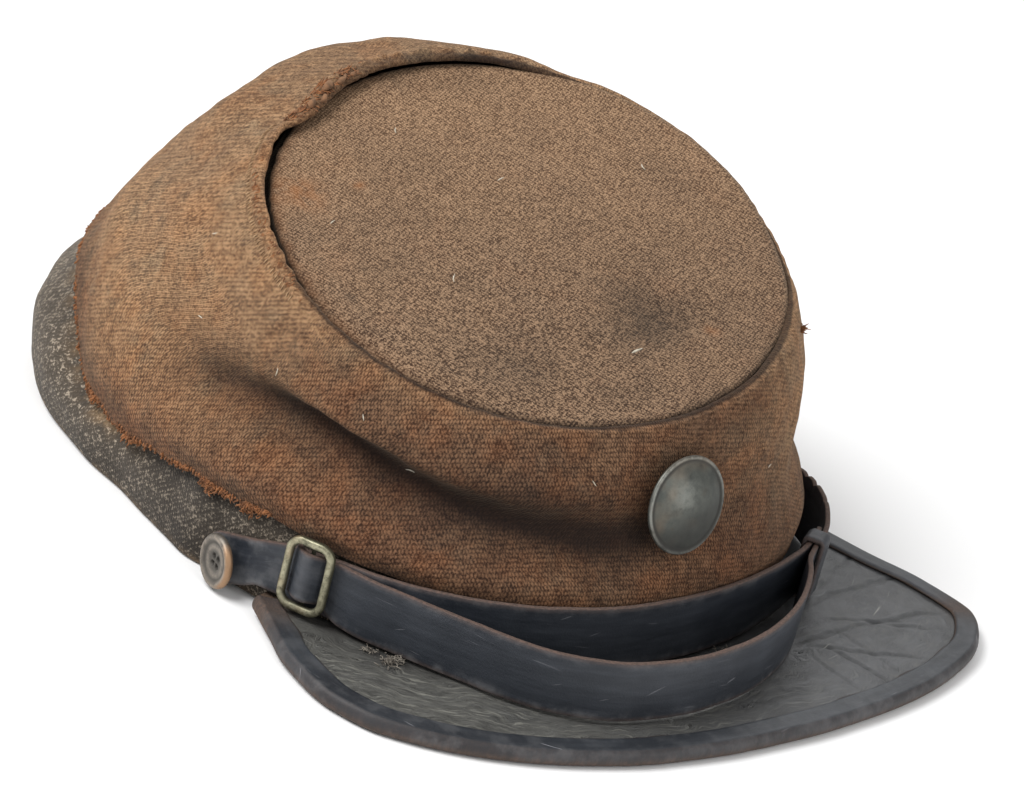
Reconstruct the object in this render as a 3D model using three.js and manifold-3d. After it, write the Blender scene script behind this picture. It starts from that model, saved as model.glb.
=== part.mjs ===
// Soft forage cap: a worn cloth crown with a round top tipped forward, on a dark
// cloth band, with a flat leather peak, a two-piece leather chin strap lying
// along the front, a brass slide buckle, a leather keeper and three buttons.
//
// Millimetres, +Z up. The peak points along -Y, the wearer's right is -X.
// The cap stands on the lower edge of its band. Angles are in degrees round the
// band: 0 at the middle of the front, +90 at the wearer's left, 180 at the back.
import * as THREE from 'three';
import * as BufferGeometryUtils from 'three/addons/utils/BufferGeometryUtils.js';
import Module from 'manifold-3d';

// ---------------------------------------------------------------- sizes
const HEAD_FRONT = 93.4;      // band outline, centre to the front
const HEAD_BACK = 105.0;      // band outline, centre to the back
const HEAD_HALF = 84.6;       // band outline, centre to the side
const HEAD_POWER = 2.37;      // squareness of the outline, 2 is an ellipse
const GAP = 0.3;              // clearance between touching pieces
const BAND_T = 2.0;           // band, two layers of cloth over its stiffener
const CROWN_T = 1.6;          // crown cloth
const TOP_R = 64.6;           // round top, seam radius
const SEAM_LAP = 1.2;         // crown wall's outer face beyond the seam
const TOP_T = 1.6;            // round top, cloth and lining
const TOP_AT = [-1.5, -18.1, 76.7];
const TOP_PITCH = 13.2;       // tipped towards the peak
const TOP_ROLL = -11.0;       // higher on the wearer's left
const PEAK_T = 2.0;           // peak leather
const PEAK_MID = 2.15;        // height of the peak's middle layer
const BIND_T = 0.8;           // binding leather
const BIND_W = 5.2;           // binding, width on each face
const STRAP_T = 1.3;          // chin strap leather
const FRONT_BUTTON_R = 12.0;
const SIDE_BUTTON_R = 6.7;
const CENTRE_Y = 12.3;        // shift that puts the middle of the footprint at the origin
const CENTRE_X = -3.8;

// ---------------------------------------------------------------- tables
// Crown wall. hem: height of the raw lower edge. off: how far it stands outside
// the band outline. z1,b1 the swell over the band; z2,b2 the sunken fold;
// b3,d3 and b4,d4 the roll below the top seam, outward of and below it;
// lip: how far the rolled edge stands over the top; gape: open seam;
// seam: how much the seam's circle is drawn in.
const CROWN = [
  { phi: -165, hem: 30, z1: 41, b1: -14, z2: 59, b2: -25, b3: 21, d3: 13, b4: 8, d4: 2, lip: 3.2, gape: 0.5, seam: 0 },
  { phi: -150, hem: 30.5, z1: 42, b1: -14, z2: 59, b2: -23, b3: 20, d3: 13, b4: 8, d4: 2.4, lip: 3.2, gape: 0.6, seam: 0 },
  { phi: -133, hem: 29, z1: 40, b1: -11, z2: 55, b2: -16, b3: 18, d3: 12, b4: 8, d4: 2, lip: 3.2, gape: 0.8, seam: 0 },
  { phi: -120, hem: 24.5, z1: 35, b1: -8, z2: 49, b2: -12, b3: 16, d3: 12, b4: 8, d4: 2, lip: 3.0, gape: 1.4, seam: 0 },
  { phi: -105, hem: 15.5, z1: 27, b1: -2.4, z2: 42, b2: -9.5, b3: 13.5, d3: 12, b4: 7.5, d4: 2.2, lip: 2.6, gape: 2.0, seam: 0 },
  { phi: -90, hem: 15.5, z1: 26, b1: 0, z2: 40, b2: -10.5, b3: 13.5, d3: 10.5, b4: 7, d4: 2.4, lip: 1.8, gape: 1.4, seam: 0 },
  { phi: -70, hem: 18.5, z1: 28, b1: 0.4, z2: 43.5, b2: -14, b3: 15, d3: 8, b4: 7, d4: 2.2, lip: 1.0, gape: 0.4, seam: 0 },
  { phi: -50, hem: 20.5, z1: 27, b1: 0.4, z2: 38.5, b2: -13.5, b3: 15.5, d3: 9, b4: 7, d4: 2.2, lip: 0.5, gape: 0.3, seam: 0 },
  { phi: -30, hem: 17, z1: 25, b1: 0.2, z2: 35, b2: -10, b3: 14.5, d3: 11, b4: 6, d4: 2.4, lip: 0.5, gape: 0.3, seam: 0 },
  { phi: -10, hem: 16, z1: 24, b1: 0.2, z2: 32.5, b2: -5.5, b3: 11.5, d3: 12.5, b4: 5, d4: 2.6, lip: 0.5, gape: 0.3, seam: 0 },
  { phi: 15, hem: 16, z1: 26, b1: 0.2, z2: 40, b2: -4, b3: 9, d3: 13, b4: 4.5, d4: 3, lip: 0.5, gape: 0.3, seam: 0 },
  { phi: 45, hem: 16, z1: 26, b1: 0.2, z2: 40, b2: -6.5, b3: 9.5, d3: 17, b4: 4.5, d4: 4, lip: 0.3, gape: 0.3, seam: -0.6 },
  { phi: 75, hem: 17, z1: 30, b1: -0.8, z2: 48, b2: -10.5, b3: 8, d3: 16, b4: 4, d4: 4, lip: -0.2, gape: 0.3, seam: -2.0 },
  { phi: 105, hem: 20, z1: 34, b1: -4, z2: 56, b2: -15.5, b3: 9.5, d3: 15, b4: 4, d4: 3.6, lip: -0.3, gape: 0.3, seam: -2.4 },
  { phi: 135, hem: 24, z1: 38, b1: -9, z2: 59, b2: -20, b3: 14, d3: 14, b4: 5, d4: 2.8, lip: 0.6, gape: 0.3, seam: -1.8 },
  { phi: 165, hem: 28, z1: 40, b1: -12.5, z2: 60, b2: -24, b3: 20, d3: 13, b4: 7.5, d4: 1.8, lip: 2.6, gape: 0.4, seam: -0.6 },
];
// Band. How far the outline swells and then leans in, by height as a share of
// the hem's height, for the straight front and for the slack back; how far the
// whole outline is drawn in on the wearer's left; how much of the slack applies.
const BAND_SWELL = [
  { u: 0, straight: 0, slack: 0.3 },
  { u: 0.28, straight: 0, slack: 2.3 },
  { u: 0.5, straight: 0, slack: 3.0 },
  { u: 0.65, straight: 0, slack: 2.0 },
  { u: 0.85, straight: 0, slack: -2.5 },
  { u: 1.0, straight: 0, slack: -6.0 },
];
const BAND_DRAW = [
  { phi: -180, draw: 0 }, { phi: -10, draw: 0 }, { phi: 0, draw: -0.6 }, { phi: 10, draw: -1.8 }, { phi: 20, draw: -2.6 },
  { phi: 35, draw: -3 }, { phi: 60, draw: -3 }, { phi: 80, draw: -2.6 }, { phi: 105, draw: -1.2 }, { phi: 130, draw: 0 },
];
const BAND_SLACK = [
  { phi: -170, slack: 1 }, { phi: -122, slack: 1 }, { phi: -95, slack: 0.35 }, { phi: -78, slack: 0 },
  { phi: 75, slack: 0 }, { phi: 105, slack: 0.4 }, { phi: 145, slack: 0.9 },
];
// Peak. Its outer edge in plan, with the lift of that edge (curl) and of the
// middle (rise), a row for each line from the band outwards.
const PEAK = [
  { phi: -67, x: -83.8, y: -44.5, curl: 0.8, rise: 0 },
  { phi: -62, x: -87.8, y: -56.5, curl: 0.5, rise: 0.1 },
  { phi: -55, x: -92, y: -70, curl: 0.2, rise: 0.3 },
  { phi: -48, x: -93, y: -82, curl: 0, rise: 0.5 },
  { phi: -40, x: -89.8, y: -94.8, curl: 0, rise: 0.5 },
  { phi: -32, x: -81.3, y: -105.5, curl: 0, rise: 0.5 },
  { phi: -24, x: -67.5, y: -115.6, curl: 0, rise: 0.4 },
  { phi: -16, x: -49, y: -123.8, curl: 0, rise: 0.3 },
  { phi: -8, x: -28, y: -129, curl: 0, rise: 0.2 },
  { phi: 0, x: -5, y: -130.8, curl: 0, rise: 0.2 },
  { phi: 8, x: 15, y: -130.4, curl: 0, rise: 0.3 },
  { phi: 16, x: 36, y: -128.4, curl: 0, rise: 0.4 },
  { phi: 24, x: 56, y: -125, curl: 0, rise: 0.5 },
  { phi: 32, x: 75.5, y: -119, curl: 0, rise: 0.6 },
  { phi: 40, x: 92, y: -110, curl: 0, rise: 0.6 },
  { phi: 47, x: 100.6, y: -98, curl: 0.1, rise: 0.6 },
  { phi: 54, x: 100, y: -83.5, curl: 0.2, rise: 0.5 },
  { phi: 61, x: 95.5, y: -69, curl: 0.3, rise: 0.3 },
  { phi: 67, x: 90, y: -54, curl: 0.4, rise: 0 },
];
// Chin straps. off: inner face outside the band outline; z0,z1: lower and upper
// edge. The right-hand piece hugs the band from its button to the keeper.
const STRAP_RIGHT = [
  { phi: -77.8, off: 1.2, z0: 3.2, z1: 9.8 },
  { phi: -76.6, off: 1.3, z0: 1.4, z1: 11.8 },
  { phi: -74, off: 1.3, z0: 0.9, z1: 13.4 },
  { phi: -71, off: 1.2, z0: 2.2, z1: 14.8 },
  { phi: -68, off: 1.0, z0: 4.4, z1: 16.4 },
  { phi: -64, off: 0.95, z0: 4.7, z1: 18.1 },
  { phi: -57, off: 0.95, z0: 4.7, z1: 19.3 },
  { phi: -49, off: 2.8, z0: 4.3, z1: 20.4 },
  { phi: -20, off: 3.0, z0: 4.2, z1: 21.0 },
  { phi: 8, off: 2.9, z0: 4.2, z1: 20.8 },
  { phi: 18, off: 3.1, z0: 4.4, z1: 20.4 },
  { phi: 27, off: 4.0, z0: 5.0, z1: 20.0 },
  { phi: 33, off: 5.2, z0: 5.6, z1: 19.6 },
  { phi: 41, off: 6.8, z0: 5.6, z1: 19.5 },
  { phi: 44, off: 7.3, z0: 6.6, z1: 18.6 },
];
// The left-hand piece runs from the buckle over the peak, through the keeper
// and round to its own button.
const STRAP_LEFT = [
  { phi: -62.3, off: 2.65, z0: 7.9, z1: 20.2 },
  { phi: -61.2, off: 4.2, z0: 7.9, z1: 20.2 },
  { phi: -59.9, off: 5.2, z0: 7.9, z1: 20.2 },
  { phi: -58.6, off: 4.2, z0: 7.9, z1: 20.0 },
  { phi: -57.2, off: 2.65, z0: 7.8, z1: 19.6 },
  { phi: -55.6, off: 2.6, z0: 6.0, z1: 19.6 },
  { phi: -53.2, off: 3.2, z0: 4.7, z1: 19.6 },
  { phi: -50, off: 4.5, z0: 4.4, z1: 19.6 },
  { phi: -45, off: 5.9, z0: 4.3, z1: 19.6 },
  { phi: -39, off: 8.6, z0: 4.3, z1: 19.6 },
  { phi: -33, off: 12.4, z0: 4.3, z1: 19.6 },
  { phi: -28.5, off: 16.6, z0: 4.3, z1: 19.6 },
  { phi: -22, off: 21.6, z0: 4.3, z1: 19.6 },
  { phi: -13.5, off: 25.0, z0: 4.3, z1: 19.6 },
  { phi: -5, off: 24.6, z0: 4.3, z1: 19.6 },
  { phi: 2, off: 22.4, z0: 4.3, z1: 19.6 },
  { phi: 9, off: 19.2, z0: 4.3, z1: 19.6 },
  { phi: 17, off: 15.2, z0: 4.3, z1: 19.6 },
  { phi: 25, off: 10.8, z0: 4.6, z1: 19.6 },
  { phi: 32, off: 7.6, z0: 5.4, z1: 19.6 },
  { phi: 36, off: 7.5, z0: 5.6, z1: 19.6 },
  { phi: 41, off: 8.5, z0: 5.6, z1: 19.6 },
  { phi: 45, off: 9.0, z0: 5.0, z1: 19.7 },
  { phi: 50, off: 9.2, z0: 4.4, z1: 20.2 },
  { phi: 56, off: 8.6, z0: 4.2, z1: 20.6 },
  { phi: 62, off: 6.8, z0: 4.1, z1: 20.2 },
  { phi: 67.5, off: 3.8, z0: 4.0, z1: 18.0 },
  { phi: 71, off: 2.0, z0: 2.2, z1: 15.4 },
  { phi: 74, off: 1.3, z0: 0.9, z1: 13.4 },
  { phi: 76.6, off: 1.3, z0: 1.4, z1: 11.8 },
  { phi: 77.8, off: 1.2, z0: 3.2, z1: 9.8 },
];
const BUCKLE = { phi: -59.9, off: 4.35, z: 14.2, wide: 12.6, tall: 18.9, bar: 2.4, deep: 2.1, corner: 4.0, lean: 3 };
const KEEPER = { phi: 37.6, wide: 6.5, wall: 1.0, tall: 16.8, deep: 5.9, z: 12.6 };
const FRONT_BUTTON = { phi: -3.9, z: 42.8, stand: 2.3 };
const SIDE_BUTTON = { phi: 73.9, z: 6.9, off: 4.9, turn: 20 };

// ---------------------------------------------------------------- helpers
const rad = (d) => (d * Math.PI) / 180;
const wrap = (d) => ((((d + 180) % 360) + 360) % 360) - 180;

// smooth monotone interpolation of a table's column
function column(rows, key, name, round) {
  let xs = rows.map((r) => r[key]);
  let ys = rows.map((r) => r[name]);
  if (round) {
    const n = xs.length;
    xs = [xs[n - 2] - 360, xs[n - 1] - 360, ...xs, xs[0] + 360, xs[1] + 360];
    ys = [ys[n - 2], ys[n - 1], ...ys, ys[0], ys[1]];
  }
  const n = xs.length;
  const h = [];
  const s = [];
  for (let i = 0; i < n - 1; i++) {
    h.push(xs[i + 1] - xs[i]);
    s.push((ys[i + 1] - ys[i]) / h[i]);
  }
  const m = new Array(n).fill(0);
  for (let i = 1; i < n - 1; i++) {
    if (s[i - 1] * s[i] > 0) {
      const w1 = 2 * h[i] + h[i - 1];
      const w2 = h[i] + 2 * h[i - 1];
      m[i] = (w1 + w2) / (w1 / s[i - 1] + w2 / s[i]);
    }
  }
  m[0] = s[0];
  m[n - 1] = s[n - 2];
  return (x) => {
    if (x <= xs[0]) return ys[0];
    if (x >= xs[n - 1]) return ys[n - 1];
    let i = 0;
    while (x > xs[i + 1]) i++;
    const t = (x - xs[i]) / h[i];
    const t2 = t * t;
    const t3 = t2 * t;
    return ys[i] * (2 * t3 - 3 * t2 + 1) + h[i] * m[i] * (t3 - 2 * t2 + t)
      + ys[i + 1] * (3 * t2 - 2 * t3) + h[i] * m[i + 1] * (t3 - t2);
  };
}
function table(rows, key, round) {
  const out = {};
  for (const name of Object.keys(rows[0])) if (name !== key) out[name] = column(rows, key, name, round);
  return out;
}
const crownAt = table(CROWN, 'phi', true);
const drawAt = table(BAND_DRAW, 'phi', true).draw;
const slackAt = table(BAND_SLACK, 'phi', true).slack;
const swellAt = table(BAND_SWELL, 'u');
const peakAt = table(PEAK, 'phi');

// band outline and its outward normal
function outline(phi) {
  const s = Math.sin(rad(phi));
  const c = -Math.cos(rad(phi));
  const a = c < 0 ? HEAD_FRONT : HEAD_BACK;
  const e = 2 / HEAD_POWER;
  return [HEAD_HALF * Math.sign(s) * Math.abs(s) ** e, a * Math.sign(c) * Math.abs(c) ** e];
}
function outlineNormal(phi) {
  const p = outline(phi - 0.4);
  const q = outline(phi + 0.4);
  const l = Math.hypot(q[0] - p[0], q[1] - p[1]);
  return [(q[1] - p[1]) / l, -(q[0] - p[0]) / l];
}
function around(phi, off, z) {
  const p = outline(phi);
  const n = outlineNormal(phi);
  const o = off + drawAt(wrap(phi));
  return [p[0] + n[0] * o, p[1] + n[1] * o, z];
}
function bandOff(phi, z) {
  const a = wrap(phi);
  const hem = crownAt.hem(a);
  const w = slackAt(a);
  const u = Math.min(1, z / hem);
  const off = swellAt.straight(u) * (1 - w) + swellAt.slack(u) * w;
  if (z <= hem) return off;
  // above the hem it runs up inside the crown wall
  return off + ((crownAt.b1(a) - off) / (crownAt.z1(a) - hem) - 0.15) * (z - hem);
}

// the round top's own frame
const TOP_FRAME = new THREE.Matrix4().makeRotationY(rad(TOP_ROLL))
  .multiply(new THREE.Matrix4().makeRotationX(rad(TOP_PITCH)))
  .setPosition(...TOP_AT);
function onTop(phi, r, up) {
  const v = new THREE.Vector3(r * Math.sin(rad(phi)), -r * Math.cos(rad(phi)), up).applyMatrix4(TOP_FRAME);
  return [v.x, v.y, v.z];
}

// Catmull-Rom through a short list of points
function along(points, t) {
  const n = points.length - 1;
  const i = Math.min(n - 1, Math.max(0, Math.floor(t)));
  const f = t - i;
  const p1 = points[i];
  const p2 = points[i + 1];
  const p0 = i > 0 ? points[i - 1] : p1.map((v, k) => 2 * v - p2[k]);
  const p3 = i + 2 <= n ? points[i + 2] : p2.map((v, k) => 2 * v - p1[k]);
  return p1.map((v, k) => 0.5 * (2 * v + (p2[k] - p0[k]) * f
    + (2 * p0[k] - 5 * v + 4 * p2[k] - p3[k]) * f * f
    + (3 * v - p0[k] - 3 * p2[k] + p3[k]) * f * f * f));
}

// closed solid through equal closed sections; `flat` gives the section's own
// plane coordinates, which the end faces are cut in
function loft(sections, { closed = false, flat = null } = {}) {
  const n = sections.length;
  const m = sections[0].length;
  const position = sections.flat(2);
  const index = [];
  for (let i = 0; i < (closed ? n : n - 1); i++) {
    const k = (i + 1) % n;
    for (let j = 0; j < m; j++) {
      const l = (j + 1) % m;
      index.push(i * m + j, i * m + l, k * m + l, i * m + j, k * m + l, k * m + j);
    }
  }
  if (!closed) {
    const contour = flat.map((p) => new THREE.Vector2(p[0], p[1]));
    const turn = Math.sign(THREE.ShapeUtils.area(contour));
    for (const face of THREE.ShapeUtils.triangulateShape(contour, [])) {
      const [a, b, c] = face;
      const way = Math.sign((contour[b].x - contour[a].x) * (contour[c].y - contour[a].y)
        - (contour[b].y - contour[a].y) * (contour[c].x - contour[a].x));
      const f = way === turn ? [a, b, c] : [a, c, b];
      index.push(f[0], f[2], f[1]);
      index.push((n - 1) * m + f[0], (n - 1) * m + f[1], (n - 1) * m + f[2]);
    }
  }
  return outward(position, index);
}
function outward(position, index) {
  let v = 0;
  const P = (i) => [position[3 * i], position[3 * i + 1], position[3 * i + 2]];
  for (let i = 0; i < index.length; i += 3) {
    const [a, b, c] = [P(index[i]), P(index[i + 1]), P(index[i + 2])];
    v += a[0] * (b[1] * c[2] - b[2] * c[1]) + a[1] * (b[2] * c[0] - b[0] * c[2]) + a[2] * (b[0] * c[1] - b[1] * c[0]);
  }
  if (v < 0) for (let i = 0; i < index.length; i += 3) [index[i + 1], index[i + 2]] = [index[i + 2], index[i + 1]];
  const g = new THREE.BufferGeometry();
  g.setAttribute('position', new THREE.Float32BufferAttribute(position, 3));
  g.setIndex(index);
  g.computeVertexNormals();
  return g;
}

const wasm = await Module();
wasm.setup();
function toManifold(geometry) {
  const g = geometry.clone();
  g.deleteAttribute('normal');
  g.deleteAttribute('uv');
  const merged = BufferGeometryUtils.mergeVertices(g, 1e-5);
  return new wasm.Manifold(new wasm.Mesh({
    numProp: 3,
    vertProperties: new Float32Array(merged.attributes.position.array),
    triVerts: new Uint32Array(merged.index.array),
  }));
}
function fromManifold(solid) {
  const mesh = solid.getMesh();
  const g = new THREE.BufferGeometry();
  g.setAttribute('position', new THREE.BufferAttribute(new Float32Array(mesh.vertProperties), 3));
  g.setIndex(new THREE.BufferAttribute(new Uint32Array(mesh.triVerts), 1));
  g.computeVertexNormals();
  return g;
}

// ---------------------------------------------------------------- crown wall
function crownSpine(phi) {
  const a = wrap(phi);
  const c = {};
  for (const k of Object.keys(crownAt)) c[k] = crownAt[k](a);
  const foot = bandOff(a, c.hem);
  const stand = (GAP + CROWN_T + slackAt(a)) * Math.hypot(1, (c.b1 - foot) / (c.z1 - c.hem));
  return [
    around(a, foot + stand, c.hem),
    around(a, c.b1 + stand, c.z1),
    around(a, c.b2 + stand, c.z2),
    onTop(a, TOP_R + c.seam + c.b3, -c.d3),
    onTop(a, TOP_R + c.seam + c.b4, -c.d4),
    onTop(a, TOP_R + c.seam + SEAM_LAP, c.lip),
  ];
}
// point and outward normal of the crown wall's outer face at a height
function crownFace(phi, z) {
  const spine = crownSpine(phi);
  const side = crownSpine(phi + 0.5);
  let t = 0;
  while (t < spine.length - 1 && along(spine, t)[2] < z) t += 0.01;
  const p = along(spine, t);
  const up = new THREE.Vector3(...along(spine, t + 0.4)).sub(new THREE.Vector3(...along(spine, t - 0.4)));
  const round = new THREE.Vector3(...along(side, t)).sub(new THREE.Vector3(...p));
  return { p, n: round.cross(up).normalize() };
}
const CROWN_STEPS = 3;        // rows between two spine points
function crownRing(phi) {
  const spine = crownSpine(phi);
  const side = crownSpine(phi + 0.5);
  const rows = (spine.length - 1) * CROWN_STEPS;
  const outer = [];
  const inner = [];
  for (let j = 0; j <= rows; j++) {
    const t = j / CROWN_STEPS;
    const p = along(spine, t);
    const up = along(spine, Math.min(t + 0.02, spine.length - 1)).map((v, k) => v - along(spine, Math.max(t - 0.02, 0))[k]);
    const round = along(side, t).map((v, k) => v - p[k]);
    const n = new THREE.Vector3(...round).cross(new THREE.Vector3(...up)).normalize();
    outer.push(p);
    inner.push([p[0] - n.x * CROWN_T, p[1] - n.y * CROWN_T, p[2] - n.z * CROWN_T]);
  }
  return outer.concat(inner.reverse());
}
const CROWN_SIDES = 60;
const crown = loft(Array.from({ length: CROWN_SIDES }, (_, i) => crownRing((360 * i) / CROWN_SIDES - 180)), { closed: true });

// ---------------------------------------------------------------- band
const BAND_OVERLAP = 5;       // how far the band runs up inside the crown
function bandRing(phi) {
  const a = wrap(phi);
  const top = crownAt.hem(a) + BAND_OVERLAP;
  const outer = [];
  const inner = [];
  for (let j = 0; j <= 4; j++) {
    const z = (top * j) / 4;
    outer.push(around(a, bandOff(a, z), z));
    inner.push(around(a, bandOff(a, z) - BAND_T, z));
  }
  return outer.concat(inner.reverse());
}
const BAND_SIDES = 60;
const band = loft(Array.from({ length: BAND_SIDES }, (_, i) => bandRing((360 * i) / BAND_SIDES - 180)), { closed: true });

// ---------------------------------------------------------------- round top
const TOP_SIDES = 60;
const TOP_RINGS = [0.2, 0.42, 0.64, 0.84];
function topSag(r) {
  return -1.2 * (1 - (r / TOP_R) ** 2);
}
function roundTop() {
  const position = [];
  const index = [];
  const rings = [];
  const addRing = (radius, height) => {
    const start = position.length / 3;
    for (let i = 0; i < TOP_SIDES; i++) {
      const phi = (360 * i) / TOP_SIDES - 180;
      position.push(...onTop(phi, radius(wrap(phi)), height));
    }
    rings.push(start);
  };
  position.push(...onTop(0, 0, topSag(0)));
  const edge = (a) => TOP_R + crownAt.seam(a) - crownAt.gape(a);
  for (const f of TOP_RINGS) addRing(() => TOP_R * f, topSag(TOP_R * f));
  addRing((a) => edge(a) - 1.2, topSag(TOP_R - 2));
  addRing(edge, -0.5);
  addRing(edge, -TOP_T);
  for (const f of [...TOP_RINGS].reverse()) addRing(() => TOP_R * f, topSag(TOP_R * f) - TOP_T);
  const last = position.length / 3;
  position.push(...onTop(0, 0, topSag(0) - TOP_T));
  for (let i = 0; i < TOP_SIDES; i++) {
    const k = (i + 1) % TOP_SIDES;
    index.push(0, rings[0] + i, rings[0] + k);
    for (let r = 0; r < rings.length - 1; r++) {
      const a = rings[r];
      const b = rings[r + 1];
      index.push(a + i, b + i, b + k, a + i, b + k, a + k);
    }
    index.push(rings[rings.length - 1] + i, last, rings[rings.length - 1] + k);
  }
  return outward(position, index);
}
const crownTop = roundTop();

// ---------------------------------------------------------------- peak
const PEAK_SPAN = [-67, 67];
const PEAK_SECTIONS = 40;
const PEAK_ROWS = 5;
function peakMid(phi, s) {
  const root = around(phi, GAP + 0.1, 0);
  const x = peakAt.x(phi);
  const y = peakAt.y(phi);
  const z = PEAK_MID + peakAt.curl(phi) * s * s + peakAt.rise(phi) * Math.sin(Math.PI * s);
  return [root[0] + (x - root[0]) * s, root[1] + (y - root[1]) * s, z];
}
const span = (range, n) => Array.from({ length: n + 1 }, (_, i) => range[0] + ((range[1] - range[0]) * i) / n);
function peakSection(phi) {
  const up = [];
  const down = [];
  for (let j = 0; j <= PEAK_ROWS; j++) {
    const p = peakMid(phi, j / PEAK_ROWS);
    up.push([p[0], p[1], p[2] + PEAK_T / 2]);
    down.push([p[0], p[1], p[2] - PEAK_T / 2]);
  }
  return up.concat(down.reverse());
}
const peakFlat = [];
for (let j = 0; j <= PEAK_ROWS; j++) peakFlat.push([j, 1]);
for (let j = PEAK_ROWS; j >= 0; j--) peakFlat.push([j, -1]);
const peak = loft(span(PEAK_SPAN, PEAK_SECTIONS).map(peakSection), { flat: peakFlat });

// binding: a U of thin leather folded over the peak's outer edge
const inside = PEAK_T / 2 + GAP;
const outside = inside + BIND_T;
const BIND_SECTION = [
  [-BIND_W, outside], [0, outside], [0.9, outside - 0.5], [GAP + BIND_T + 0.2, 0], [0.9, -outside + 0.5], [0, -outside], [-BIND_W, -outside],
  [-BIND_W, -inside], [GAP, -inside], [GAP, inside], [-BIND_W, inside],
];
function bindingSection(phi) {
  const p = peakMid(phi, 1);
  const a = peakMid(phi - 0.8, 1);
  const b = peakMid(phi + 0.8, 1);
  const l = Math.hypot(b[0] - a[0], b[1] - a[1]);
  const n = [(b[1] - a[1]) / l, -(b[0] - a[0]) / l];
  const root = peakMid(phi, 0);
  const reach = Math.max(4, n[0] * (p[0] - root[0]) + n[1] * (p[1] - root[1]));
  return BIND_SECTION.map(([o, z]) => [p[0] + n[0] * o, p[1] + n[1] * o, (o < 0 ? peakMid(phi, Math.max(0, 1 + o / reach))[2] : p[2]) + z]);
}
const peakBinding = loft(span([PEAK_SPAN[0] + 0.6, PEAK_SPAN[1] - 0.6], 46).map(bindingSection), { flat: BIND_SECTION });

// ---------------------------------------------------------------- straps
function strapStations(rows, steps) {
  const at = table(rows, 'phi');
  return span([0, rows.length - 1], (rows.length - 1) * steps).map((t) => {
    const i = Math.min(rows.length - 2, Math.floor(t));
    const phi = rows[i].phi + (rows[i + 1].phi - rows[i].phi) * (t - i);
    const p = around(phi, at.off(phi), 0);
    return { p, z0: at.z0(phi), z1: at.z1(phi) };
  });
}
function ribbon(stations) {
  return loft(stations.map((s, i) => {
    const a = stations[Math.max(0, i - 1)].p;
    const b = stations[Math.min(stations.length - 1, i + 1)].p;
    const l = Math.hypot(b[0] - a[0], b[1] - a[1]);
    const n = [((b[1] - a[1]) / l) * STRAP_T, (-(b[0] - a[0]) / l) * STRAP_T];
    return [
      [s.p[0], s.p[1], s.z0], [s.p[0] + n[0], s.p[1] + n[1], s.z0],
      [s.p[0] + n[0], s.p[1] + n[1], s.z1], [s.p[0], s.p[1], s.z1],
    ];
  }), { flat: [[0, 0], [1, 0], [1, 1], [0, 1]] });
}
const strapRight = ribbon(strapStations(STRAP_RIGHT, 4));
const strapLeft = ribbon(strapStations(STRAP_LEFT, 3));

// a turned group standing on the band: x along the band, y up, z outwards
function station(phi, off, z, lean = 0, tilt = 0) {
  const p = around(phi, off, z);
  const n = outlineNormal(phi);
  const out = new THREE.Vector3(n[0] * Math.cos(rad(lean)), n[1] * Math.cos(rad(lean)), Math.sin(rad(lean)));
  const along = new THREE.Vector3(-n[1], n[0], 0);
  const up = new THREE.Vector3().crossVectors(out, along);
  const g = new THREE.Group();
  g.matrixAutoUpdate = true;
  g.quaternion.setFromRotationMatrix(new THREE.Matrix4().makeBasis(along, up, out));
  g.rotateZ(rad(tilt));
  g.position.set(...p);
  return g;
}

// ---------------------------------------------------------------- buckle
function roundedRect(w, h, r) {
  const s = new THREE.Shape();
  s.moveTo(-w / 2 + r, -h / 2);
  s.lineTo(w / 2 - r, -h / 2);
  s.absarc(w / 2 - r, -h / 2 + r, r, -Math.PI / 2, 0, false);
  s.lineTo(w / 2, h / 2 - r);
  s.absarc(w / 2 - r, h / 2 - r, r, 0, Math.PI / 2, false);
  s.lineTo(-w / 2 + r, h / 2);
  s.absarc(-w / 2 + r, h / 2 - r, r, Math.PI / 2, Math.PI, false);
  s.lineTo(-w / 2, -h / 2 + r);
  s.absarc(-w / 2 + r, -h / 2 + r, r, Math.PI, 1.5 * Math.PI, false);
  return s;
}
function buckleGeometry() {
  const b = BUCKLE;
  const bevel = 0.45;
  const shape = roundedRect(b.wide - 2 * bevel, b.tall - 2 * bevel, b.corner - bevel);
  shape.holes.push(roundedRect(b.wide - 2 * b.bar + 2 * bevel, b.tall - 2 * b.bar + 2 * bevel, b.corner - b.bar + bevel));
  const frame = new THREE.ExtrudeGeometry(shape, { depth: b.deep - 2 * bevel, bevelEnabled: true, bevelThickness: bevel, bevelSize: bevel, bevelSegments: 1, curveSegments: 4 });
  frame.translate(0, 0, bevel);
  // centre bar behind the frame, with a foot at each end that joins the frame
  const bar = new THREE.BoxGeometry(1.5, b.tall - 2.4, 1.3);
  bar.translate(0, 0, -0.55);
  return fromManifold(toManifold(frame).add(toManifold(bar)));
}

// ---------------------------------------------------------------- keeper
function keeperGeometry() {
  const k = KEEPER;
  const shape = roundedRect(k.deep, k.tall, 1.5);
  shape.holes.push(roundedRect(k.deep - 2 * k.wall, k.tall - 2 * k.wall, 0.5));
  const g = new THREE.ExtrudeGeometry(shape, { depth: k.wide, bevelEnabled: false, curveSegments: 3 });
  g.translate(0, 0, -k.wide / 2);
  g.rotateY(-Math.PI / 2);      // shape x -> outwards, shape y -> up, depth -> along the strap
  return g;
}

// ---------------------------------------------------------------- buttons
function lathe(profile, sides) {
  const g = new THREE.LatheGeometry(profile.map((p) => new THREE.Vector2(p[0], p[1])), sides);
  g.rotateX(Math.PI / 2);       // turning axis to +z, outwards
  g.deleteAttribute('normal');
  g.deleteAttribute('uv');
  return BufferGeometryUtils.mergeVertices(g, 1e-4);
}
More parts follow.
